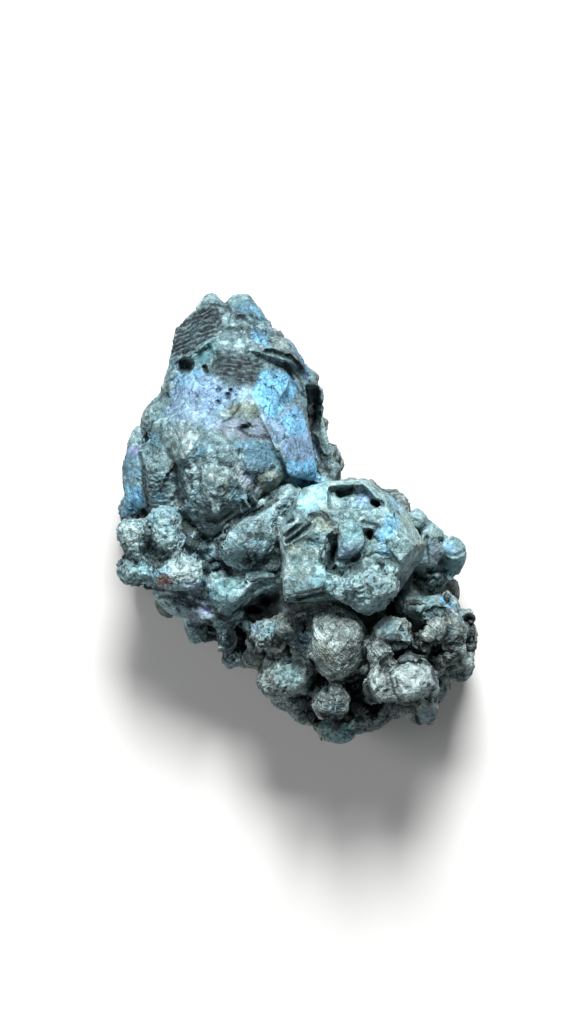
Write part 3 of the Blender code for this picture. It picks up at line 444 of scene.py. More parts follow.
bigCrystal = {
    "name": "bigCrystal",
    "look": "tarnishedCrystal",
    "skin": 0.12,
    "melt": 0.07,
    "relief": 0.75,
    "blocks": {
        "bigCrystalBody": [(-1.8, -1, 20.2), (-0.8, 0.9, 20.4), (0.5, 3.1, 20.8), (2.8, 3.8, 21), (6.7, 4, 20.6),
            (7.8, 3.2, 20.4), (9.6, 2.1, 19.8), (10.7, 0.9, 19.4), (12.7, -2.4, 19.8), (12.5, -3.6, 18),
            (9.6, -7.9, 17.6), (-1.3, -8.2, 21.4), (-1.5, -5.9, 21.6), (-0.5, -2.6, 22.4), (-0.1, 1.3, 21.9),
            (0.9, 2.9, 21.7), (2.95, 3.35, 22.6), (3.1, 1, 23.7), (1.7, -0.2, 23.5), (6.6, 3.5, 22.5),
            (8.1, 1.9, 23.4), (9.5, -0.2, 23.6), (11.6, -2.5, 22.7), (9.9, -4.9, 23.2), (8.9, -6.2, 22.6),
            (2.6, -7.2, 23), (-1, -7, 10), (-1, -1, 10), (3, 2.6, 10), (7.6, 2.6, 10), (11.4, -2.8, 10),
            (9, -7.8, 10)],
    },
    "lumps": [
        ("apronRight", (7.6, -6.4, 24.6), (2.3, 2.6), 10, 1.2, "craggy"),
        ("apronLeft", (5.2, -6.6, 24.4), (2.2, 1.9), -10, 1.2, "craggy"),
        ("apronChin", (6.91, -7.99, 22.8), (2.24, 1.32), 0, 1.2, "craggy"),
    ],
    "terraces": {
        "innerCrystal": [(3.85, 0.24, 23.4), (4.61, 0.51, 23.3), (6.02, 0.43, 23.3), (6.25, -0.43, 24),
            (6.74, -1.93, 24.3), (6.39, -2.85, 24.4), (3.81, -2.8, 24.7), (5.31, -2.89, 25.3), (4.01, -0.85, 24.7),
            (5.32, -0.47, 24.8), (3.92, -3.92, 24.2), (5.13, -4.02, 24.2), (5.86, -3.29, 24.3), (4.2, 0, 18),
            (6.2, 0, 18), (6.5, -2.6, 18), (5.4, -3.7, 18), (4.3, -3.7, 18)],
        "trenchBlade": [(2.21, -3.19, 24.3), (2.8, -2.22, 24.4), (3.23, -2.61, 24.2), (3, -3.78, 23.8),
            (2.75, -4.17, 23.8), (2.69, -2.89, 24.9), (2.4, -3.2, 19), (3, -2.5, 19), (3.1, -3.6, 19)],
        "tiltedFacet": [(-1.2, -3.1, 23), (1.6, -2.2, 24.3), (2.5, -3.3, 24.6), (2.3, -5, 24.6), (3, -5.7, 24.4),
            (2.5, -7.1, 23.7), (-1.2, -8.2, 22.7), (-1.45, -6, 22.7), (0, -4, 20), (2.2, -3.6, 20), (2.4, -6.4, 20),
            (-0.4, -7.4, 20)],
        "wedge": [(-1.7, -1.1, 22), (-0.9, -0.3, 22.6), (1.2, -0.2, 23.8), (1.5, -1.4, 24), (-1.1, -2.4, 22.6),
            (-1.3, -2.9, 21.6), (1.2, -2.2, 22.6), (-1, -1.5, 19), (1, -1, 19)],
        "blueWall": [(7.4, -1.4, 21.8), (7.3, 0.2, 22.2), (9.5, 0.8, 23.8), (9.9, -1.4, 24), (9.2, -2.9, 23.8),
            (7.9, -3.1, 22.6), (8, -1, 18), (9.6, -1, 18), (8.6, -2.6, 18)],
        "brownFacet": [(9.7, -1.8, 24), (10.8, -1.7, 23.6), (11.8, -2.6, 23), (10, -4.2, 24), (9, -3, 24.2),
            (9.6, -2.4, 20), (10.8, -2.6, 20), (9.8, -3.6, 20)],
        "backShelf": [(3.2, 0.9, 22.2), (5.83, 1.09, 22.3), (7.97, 0.99, 23.6), (7.77, -0.37, 23.6),
            (6.7, -0.47, 23.4), (5.74, 0.36, 22.2), (3.49, 0.21, 22.1), (3.8, 0.6, 18), (7.6, 0.6, 18),
            (7.4, 0, 18)],
    },
    "rubble": [
        ("westRubble", (2.3, -0.9, 24.4), (1.5, 1.3), 30, 1.1, "rough"),
        ("trenchRubble", (2.99, -1.15, 24.6), (0.83, 0.97), -15, 1.2, "rough"),
        ("pocketRubble", (2.41, -2.22, 24.4), (0.97, 1.07), -20, 1.2, "rough"),
        ("pocketPebble", (4.26, -4.6, 24.3), (0.83, 0.44), 10, 1.4, "smooth"),
        ("rightRubble", (7.9, -4.2, 23.9), (1.2, 0.9), 0, 1.3, "rough"),
    ],
    "hollows": {
        "crystalPocket": [(3.26, -2.1, 27), (3.64, 0.12, 27), (4.42, 0.6, 27), (5.96, 0.56, 27), (6.5, -0.46, 27),
            (7.12, -1.14, 27), (7.22, -2.49, 27), (6.06, -3.84, 27), (4.71, -4.71, 27), (2.87, -4.91, 27),
            (2.48, -4.13, 27), (3.4, -4.09, 22.4), (3.88, -0.28, 22.8), (6.13, -0.18, 22.8), (6.92, -2.13, 22.4),
            (5.45, -3.79, 22.4)],
        "leftTrench": [(3.6, -1.81, 27), (3.81, -1.72, 27), (3.81, -3.07, 27), (3.69, -4.23, 27), (3.26, -5, 27),
            (2.58, -4.86, 27), (2.73, -4.33, 27), (3.31, -3.26, 27), (3.52, -2.54, 20.4), (3.76, -2.34, 20.4),
            (3.42, -4.6, 20.4), (3.03, -4.7, 20.4)],
        "rightTrench": [(6.64, -0.75, 27), (7.32, -0.94, 27), (7.46, -1.62, 27), (7.32, -2.39, 27),
            (6.69, -2.64, 27), (6.74, -1.81, 27), (6.94, -1.06, 20.8), (7.29, -1.16, 20.8), (7.04, -2.34, 20.8)],
        "upperRecess": [(2.87, 3.26, 27), (6.45, 3.41, 27), (7.22, 2.92, 27), (8.28, 1.47, 27), (7.7, 0.7, 27),
            (2.87, 0.8, 27), (3.11, 3.1, 21.4), (6.35, 3.25, 21.2), (7.52, 1.87, 21.6), (7.3, 0.9, 22.6),
            (3.1, 0.99, 22.6)],
        "crystalSlot": [(3.55, 2.92, 27), (4.42, 3.12, 27), (5.96, 3.12, 27), (6.06, 2.63, 27), (5.09, 2.39, 27),
            (4.32, 1.86, 27), (3.64, 1.86, 27), (3.82, 2.86, 19.8), (5.87, 3.06, 20.2), (5.68, 2.76, 20.2),
            (4.11, 2.17, 19.8)],
        "cornerPit": [(7.32, 2.05, 27), (7.8, 1.67, 27), (8.48, 1.57, 27), (7.9, 1.09, 27), (7.51, 0.8, 27),
            (7.65, 1.78, 20), (8.23, 1.49, 20), (7.74, 1.19, 20)],
    },
}

eastCrystals = {
    "name": "eastCrystals",
    "look": "tarnishedCrystal",
    "skin": 0.13,
    "melt": 0.05,
    "relief": 0.8,
    "blocks": {
        "eastBlock": [(10.9, 0.6, 15.6), (12, 1.15, 15.6), (12.95, 0.35, 15.2), (13.01, -0.39, 15),
            (12.27, -0.98, 16.4), (10.88, -0.78, 16.6), (11.46, 0.3, 17), (12.36, 0.01, 16.8), (11, 0.2, 8),
            (12.5, 0.4, 8), (12.8, -0.8, 8), (11, -1.2, 8)],
        "eastStep": [(12.43, 0.2, 14.2), (13.22, 0, 14.6), (14.63, -1.09, 14), (14.9, -1.89, 13.4),
            (13.79, -1.88, 15.4), (12.49, -1.18, 15.6), (12.09, -2.37, 15.8), (13.49, -0.89, 15.4), (12.4, 0, 7),
            (14.3, -1.2, 7), (14.2, -2.4, 7), (12.2, -2, 7)],
        "greyFace": [(13.7, -1.58, 15.2), (14.72, -3.08, 14.2), (13.95, -4.78, 13.4), (12.71, -4.17, 14.8),
            (12.09, -2.57, 15.8), (11.54, -4.97, 14), (13.2, -1.8, 7), (14.3, -3.2, 7), (13.8, -4.4, 7),
            (12.2, -4.6, 7)],
        "eastEnd": [(14.54, -2.29, 13.6), (15.36, -1.44, 13.2), (16.37, -1.89, 12.9), (17.03, -2.9, 12.5),
            (16.75, -3.69, 13.2), (15.33, -3.93, 13.9), (14.53, -3.28, 14), (17.02, -4.21, 11.4),
            (16.25, -5.72, 10.6), (15.24, -5.71, 11), (14.6, -4.5, 12), (14.8, -2.4, 6), (16.3, -2.4, 6),
            (16.4, -4, 6), (15.6, -4.8, 6), (14.8, -4.6, 6)],
    },
    "lumps": [
        ("eastRoot", (12.6, -5, 12), (3, 2.8), 0, 1.2, "rough"),
    ],
    "prisms": [  # small crystals under the stepped ones: name, middle, radius, height, turn, lean, tip
        ("eastBudA", (13.7, -5.6, 10.4), 0.8, 4.4, 20, 14, 0),
        ("eastBudB", (14.8, -5.7, 9.4), 0.7, 4.4, 5, 4, 14),
        ("eastBudC", (12.8, -6, 10.8), 0.9, 4.4, 40, -8, 0),
    ],
}

footWest = {
    "name": "footWest",
    "look": "tarnishedFoot",
    "skin": 0.13,
    "melt": 0.16,
    "relief": 1,
    "lines": {
        "ribbedBall": ((0.75, 0.62, 0.3), 0.27, 0.55),
        "ribbedWest": ((0.85, 0.5, 0.2), 0.27, 0.8),
        "ribbedTop": ((0.3, 1, 0.4), 0.4, 0.3),
        "cutCrystal": ((0.35, 1, 0.3), 0.36, 0.7),
        "brow": ((0.2, 1, 0), 0.4, 0.4),
    },
    "blocks": {
        "cutFaces": [(1.27, -17.83, 18.4), (1.86, -16.66, 18.2), (3.24, -16.16, 18.2), (4.82, -16.65, 18.4),
            (5.4, -17.82, 18.8), (5.11, -18.9, 18.8), (3.93, -20, 18.4), (2.25, -19.8, 18.4), (1.37, -18.82, 18.4),
            (3.81, -17.26, 20.3), (3.61, -18.82, 20.5), (2.15, -17.29, 19.6), (2.15, -18.86, 19.7), (2, -16.6, 11),
            (4.6, -16.8, 11), (4.8, -18.6, 11), (3, -19.4, 11), (1.6, -18.6, 11)],
    },
    "lumps": [
        ("ribbedBall", (4.09, -12.7, 21.8), (3.8, 3.9), 20, 1.15, "ribbed"),
        ("ribbedTop", (3.32, -10.48, 20.8), (3.5, 2.4), 5, 1.2, "rough"),
        ("ribbedWest", (1.56, -12.38, 19.6), (2.2, 3), -20, 1.2, "ribbed"),
        ("brow", (-0.4, -10.6, 18.2), (2.4, 1.9), 20, 1.2, "rough"),
        ("westUpper", (-2.6, -12, 16.4), (2.7, 2.6), 0, 1.2, "craggy"),
        ("westEdge", (-4.2, -14, 12.2), (1.9, 1.4), 20, 1.5, "rough"),
        ("westLower", (-1.6, -15.6, 15.6), (2.8, 2.6), -25, 1.2, "craggy"),
        ("westLink", (0.6, -15.4, 16.8), (1.9, 2.6), -15, 1.2, "rough"),
        ("westFoot", (-0.8, -17.6, 13.6), (2.5, 1.9), -20, 1.2, "craggy"),
        ("darkFoot", (0.4, -19.2, 11), (1.4, 1.9), 10, 1.4, "rough"),
        ("cutCrystal", (3.42, -17.86, 20.1), (2.16, 2.06), 15, 1.2, "ribbed"),
        ("greenFoot", (3.9, -21, 12.6), (2.6, 1.7), 8, 1.5, "craggy"),
        ("gravelRidge", (7.6, -19.9, 12.2), (3.6, 1.7), 24, 1.2, "craggy"),
        ("gravelBank", (7.4, -18, 12.8), (3.4, 2), 10, 1.2, "craggy"),
    ],
    "hollows": {
        "browHole": [(0.1, -9.8, 21), (1.2, -9.9, 21), (1, -11.4, 21), (0.3, -11.8, 21), (0.5, -10.4, 14.6),
            (0.7, -11.2, 14.6)],
    },
}

footEast = {
    "name": "footEast",
    "look": "tarnishedFoot",
    "skin": 0.13,
    "melt": 0.16,
    "relief": 1,
    "lines": {
        "eggLeft": ((0.7, 0.75, 0), 0.3, 0.8),
        "eggRight": ((1, 0.3, 0.2), 0.3, 0.8),
        "eggBelow": ((0.2, 1, 0.2), 0.28, 0.8),
        "plum": ((0.8, 0.8, 0.2), 0.3, 0.7),
        "bean": ((0.9, 0.5, 0.1), 0.3, 0.7),
        "paleLump": ((0.2, 1, 0.3), 0.34, 0.05),
        "eastRim": ((0.3, 1, 0.2), 0.3, 0.7),
    },
    "blocks": {
        "brick": [(6.77, -11.1, 19.4), (7.57, -10.33, 18.8), (8.66, -9.6, 18.6), (10.83, -9.55, 18.6),
            (11.46, -10.23, 18.8), (11.39, -12.18, 19.4), (10.9, -12.77, 19.6), (9.02, -12.55, 20.2),
            (7.15, -11.68, 20), (8.91, -12.05, 20.7), (10.58, -12.35, 20.4), (10.7, -10.41, 19.6),
            (8.54, -10.41, 19.6), (7.4, -11, 11), (10.7, -11, 11), (9, -10, 11), (9.2, -12.2, 11), (11, -12.4, 11)],
        "hook": [(11.3, -17.45, 15.6), (13.79, -17.27, 15.2), (14.21, -18.79, 14.6), (13.85, -20.42, 13.6),
            (13.06, -20.83, 13.4), (12.03, -19.49, 14.4), (11.03, -18.48, 14.8), (13.06, -18.61, 16.4),
            (11.6, -17.6, 8), (13.6, -17.6, 8), (13.4, -19.6, 9)],
        "eastBank": [(9.57, -9.37, 13.4), (15.37, -9.18, 12.8), (16.58, -12.58, 12.6), (15.18, -14.98, 12.6),
            (11.56, -15.55, 13.4), (7.36, -14.52, 14.4), (9.6, -9.6, 6), (15, -9.6, 6), (15.4, -12.6, 6),
            (12, -15, 6), (8, -14, 6)],
    },
    "lumps": [
        ("paleLump", (11.23, -15.93, 21.8), (2.84, 2.64), 10, 1.2, "rough"),
        ("paleShoulder", (8.11, -16.34, 21.4), (1.86, 2.06), 0, 1.4, "smooth"),
        ("plum", (8.22, -13.13, 20.6), (1.96, 1.77), 30, 1.4, "rough"),
        ("eggLeft", (13.47, -11.21, 19.2), (1.48, 2.16), -45, 1.2, "smooth"),
        ("eggRight", (15.68, -11.05, 17.8), (1.5, 2), 5, 1.2, "smooth"),
        ("eggBelow", (15.52, -13.05, 17), (1.6, 1.2), 12, 1.4, "smooth"),
        ("bean", (14.16, -14.16, 16.2), (1.25, 1.5), 20, 1.4, "rough"),
        ("tealBank", (11.88, -8.81, 16.2), (2.8, 1.7), -10, 1.2, "rough"),
        ("tealBankEast", (14.29, -8.63, 15.2), (2, 1.4), 0, 1.2, "rough"),
        ("eastRim", (17.14, -11.96, 13.4), (0.95, 2), 0, 1.5, "rough"),
        ("eastBead", (17.34, -9.57, 13.4), (0.8, 0.8), 0, 1.2, "smooth"),
        ("eastBeadStalk", (16.46, -9.88, 13), (1.1, 0.9), 0, 1.2, "rough"),
        ("southEast", (16.14, -14.35, 13.6), (2, 2), 0, 1.4, "rough"),
        ("brickSkin", (9.3, -10.88, 20.5), (2.06, 1.28), 8, 0.9, "rough"),
        ("hookRoot", (12.89, -17.06, 15.4), (1.6, 1.8), 20, 1.4, "rough"),
    ],
    "plates": [
        ("tealFlake", (15.1, -8.2, 12.6), (0.9, 2.2, 4.6), 14, 0, 0.3),
        ("footCrystalA", (12.2, -18.4, 10.6), (2.4, 3.6, 5.6), 12, 16, 0.24),
        ("footCrystalB", (11.2, -18.8, 10.8), (1.6, 2.4, 5), -22, 0, 0.25),
    ],
}


def sideLumps(settings):  # the knobs under the ones that show from the front, as the frame has them
    dice = random.Random(settings["sideSeed"])
    lumps, kinds = [], itertools.cycle(settings["sideFinishes"])
    for i, (x, y) in enumerate(settings["sideSpots"]):
        radii = tuple(dice.uniform(*span) for span in settings["sideRadii"])
        top, turn = dice.uniform(*settings["sideTops"]), dice.uniform(0, 180)
        lumps.append((f"side{i}", (x, y, top), radii, turn, settings["sideDeep"], next(kinds)))
    return lumps


facetLevels = [  # spacing in mm, tilt, which share of a finish it follows, seed
    (2.4, 0.26, "broad", 11),
    (1.1, 0.40, "mid", 12),
    (0.46, 0.50, "fine", 13),
]
relief = {  # how high each kind stands, and how far apart beads and pits lie, in mm
    "swell": 0.22, "lumpy": 0.07, "grain": 0.045, "beads": 0.15, "pits": 0.28,
    "beadSpacing": 0.40, "pitSpacing": 1.1, "seamWidth": 0.16,
}
voxels = {"quick": 0.30, "hollow": 0.14}  # in mm
crumbSize = 300  # the most vertices that a loose crumb has
lineDrifts = [(0.1, 0.8, 3)]  # how carved lines and film edges wander: how far, over what length in mm, seed
filmDrifts = [(0.40, 2.2, 8), (0.28, 0.9, 31), (0.14, 0.36, 33)]


def readVectors(rows, key):
    values = np.empty(len(rows) * 3, np.float32)
    rows.foreach_get(key, values)
    return values.reshape(-1, 3).astype(float)


def readPoints(mesh):
    return readVectors(mesh.vertices, "co")


def readNormals(mesh):
    return readVectors(mesh.vertex_normals, "vector")


def writePoints(mesh, points):
    mesh.vertices.foreach_set("co", points.astype(np.float32).ravel())
    mesh.update()


def storeAttribute(mesh, name, values):
    layer = mesh.attributes.new(name, "FLOAT", "POINT")
    layer.data.foreach_set("value", np.ascontiguousarray(values, np.float32))


def dot(first, second):
    return np.einsum("ij,ij->i", first, second)


def unit(vectors):
    return vectors / np.maximum(np.linalg.norm(vectors, axis=1), 1e-6)[:, None]


def readEdges(mesh):
    edges = np.empty(len(mesh.edges) * 2, np.int32)
    mesh.edges.foreach_get("vertices", edges)
    starts, ends = edges[0::2], edges[1::2]
    count = len(mesh.vertices)
    degree = np.bincount(starts, minlength=count) + np.bincount(ends, minlength=count)
    return starts, ends, np.maximum(degree, 1)[:, None]


def neighbourMean(values, edges):
    starts, ends, degree = edges
    count = len(values)
    columns = [
        np.bincount(starts, values[ends, k], count) + np.bincount(ends, values[starts, k], count)
        for k in range(values.shape[1])
    ]
    return np.stack(columns, 1) / degree


def calmNormals(mesh, edges, steps=4):
    normals = readNormals(mesh)
    for _ in range(steps):
        normals = neighbourMean(normals, edges)
    return unit(normals)


def scramble(cells, seed):  # three numbers from 0 to 1 for each grid cell, the same each run
    mixed = cells @ np.array([[12.99, 39.35, 73.16], [78.23, 11.14, 52.24], [37.72, 83.16, 9.15]]) + seed
    return np.modf(np.abs(np.sin(mixed)) * 43758.5453)[0]


def waver(points, size, seed):  # soft noise from -1 to 1
    places = points / size
    home = np.floor(places)
    part = places - home
    part = part * part * (3 - 2 * part)
    total = np.zeros(len(points))
    for corner in itertools.product((0, 1), repeat=3):
        share = np.prod(np.where(np.array(corner) == 1, part, 1 - part), axis=1)
        total += share * scramble(home + corner, seed)[:, 0]
    return total * 2 - 1


def findCells(points, spacing, seed):  # the three nearest grains to each point: how far, and which
    home = np.floor(points / spacing)
    gaps, names = [], []
    for offset in itertools.product((-1, 0, 1), repeat=3):
        cells = home + offset
        spots = (cells + 0.1 + 0.8 * scramble(cells, seed)) * spacing
        gaps.append(np.linalg.norm(points - spots, axis=1))
        names.append(cells @ np.array((1.0, 2048.0, 2048.0**2)))  # one number for each grid cell
    gaps, names = np.array(gaps), np.array(names)
    order = np.argsort(gaps, axis=0)[:3]
    return np.take_along_axis(gaps, order, 0), np.take_along_axis(names, order, 0)


def measureFacets(points, normals, spacing, tilt, seed):  # how far each point is from flat chipped faces
    gaps, names = findCells(points, spacing, seed)
    known, owner = np.unique(names[0], return_inverse=True)
    count = np.bincount(owner)[:, None]
    middles = np.stack([np.bincount(owner, points[:, k]) for k in range(3)], 1) / count
    flats = np.stack([np.bincount(owner, normals[:, k]) for k in range(3)], 1) / count
    dice = scramble(np.outer(known, (0.0131, 0.0293, 0.0717)), seed)
    flats = unit(unit(flats) + tilt * (dice * 2 - 1))
    lowest = np.full(len(points), np.inf)
    for row in names:
        place = np.minimum(np.searchsorted(known, row), len(known) - 1)
        slope = np.maximum(dot(normals, flats[place]), 0.45)
        reach = dot(middles[place] - points, flats[place]) / slope
        lowest = np.where(known[place] == row, np.minimum(lowest, reach), lowest)
    return np.clip(lowest, -0.4 * spacing, 0.3 * spacing), gaps[1] - gaps[0], dice[owner, 0]


def skinGap(points, lump):  # how far each point is from a lump's skin, for the lump's size
    inverse = np.array(lumpMatrix(lump).inverted())
    return np.abs(np.linalg.norm(points @ inverse[:3, :3].T + inverse[:3, 3], axis=1) - lumpShape["skin"])


def finishWeights(points, lumps):  # how far each relief acts at each point, from the lump it lies on
    total = np.full(len(points), 0.05)
    wanted = {kind: total * finishes["facet"][kind] for kind in reliefKinds}
    for lump in lumps:
        near = np.exp(-((skinGap(points, lump) / lumpShape["reach"]) ** 2))
        total = total + near
        for kind in reliefKinds:
            wanted[kind] = wanted[kind] + near * finishes[lump[-1]][kind]
    return {kind: wanted[kind] / total for kind in reliefKinds}


def seenFromFront(points):  # where each point shows from the front, in mm on the plane the photograph is sharp in
    middle = np.array(view["middle"])
    nearer = view["away"] / (view["level"] + view["away"] - points[:, 2])
    return middle + (points[:, :2] - middle) * nearer[:, None]


def wanderedSpots(points, drifts):  # the same, moved a little by soft noise
    spots = seenFromFront(points)
    for reach, size, seed in drifts:
        spots += reach * np.stack([waver(points, size, seed), waver(points, size, seed + 1)], 1)
    return spots


def facesFront(mesh, start, span):  # from 0 to 1 as the skin turns towards the front
    return np.clip((readNormals(mesh)[:, 2] + start) / span, 0, 1)


def pathGap(spots, path):
    nearest = np.full(len(spots), np.inf)
    for (ax, ay), (bx, by) in zip(path, path[1:]):
        run = np.array((bx - ax, by - ay))
        gap = spots - (ax, ay)
        along = np.clip(gap @ run / max(run @ run, 1e-9), 0, 1)
        nearest = np.minimum(nearest, np.linalg.norm(gap - along[:, None] * run, axis=1))
    return nearest


def insideReach(spots, outline):  # how far inside an outline each spot lies, less than zero outside
    inside = np.zeros(len(spots), bool)
    for (ax, ay), (bx, by) in zip(outline, outline[1:] + outline[:1]):
        crosses = (ay > spots[:, 1]) != (by > spots[:, 1])
        edge = (bx - ax) * (spots[:, 1] - ay) / (by - ay if by != ay else 1e-9) + ax
        inside ^= crosses & (spots[:, 0] < edge)
    nearest = pathGap(spots, outline + outline[:1])
    return np.where(inside, nearest, -nearest)


def nearBox(spots, path, margin):  # the spots close enough to a path to be worth measuring
    low, high = np.min(path, axis=0) - margin, np.max(path, axis=0) + margin
    return np.nonzero(np.all((spots > low) & (spots < high), axis=1))[0]


def softArea(spots, outline, soft):  # which spots an outline reaches, and how fully it covers each
    some = nearBox(spots, outline, soft)
    return some, np.clip(0.5 + 0.5 * insideReach(spots[some], outline) / soft, 0, 1)


ripples = [  # spacing and height in mm, direction across the ridges, soft edge, outline as seen from the front
    (0.47, 0.3, (-0.42, 0.91), 0.3, [(-8.9, 21.6), (-7.5, 20.2), (-7.6, 18.6), (-8.6, 17.4), (-10.4, 16.2),
        (-12.4, 15.9), (-12.5, 17.4), (-12.2, 19.2), (-10.7, 20.8)]),
    (0.5, 0.16, (0.15, 0.99), 0.5, [(-7.4, 16.9), (-4.2, 16.4), (-3.4, 14.6), (-5, 13.4), (-7.6, 14)]),
    (0.62, 0.15, (0.12, 1), 0.5, [(-15.4, 5.4), (-13.6, 6), (-12.9, 4.6), (-12.6, 1.6), (-14.4, 0.6),
        (-15.4, 2.6)]),
    (0.36, 0.08, (0.34, 0.94), 0.3, [(-5.6, 7.4), (-2.9, 7.6), (-2.1, 6), (-3, 4.4), (-5.4, 4.6)]),
    (0.42, 0.07, (0.1, 1), 0.4, [(-7.2, 10), (-3.6, 9.6), (-2.2, 7.6), (-5.4, 7.3), (-7.2, 8.4)]),
    (0.34, 0.06, (0.35, 1), 0.4, [(-5.3, 7.4), (-2.8, 7.4), (-2.1, 5.4), (-3.6, 4.6), (-5.4, 5.6)]),
]

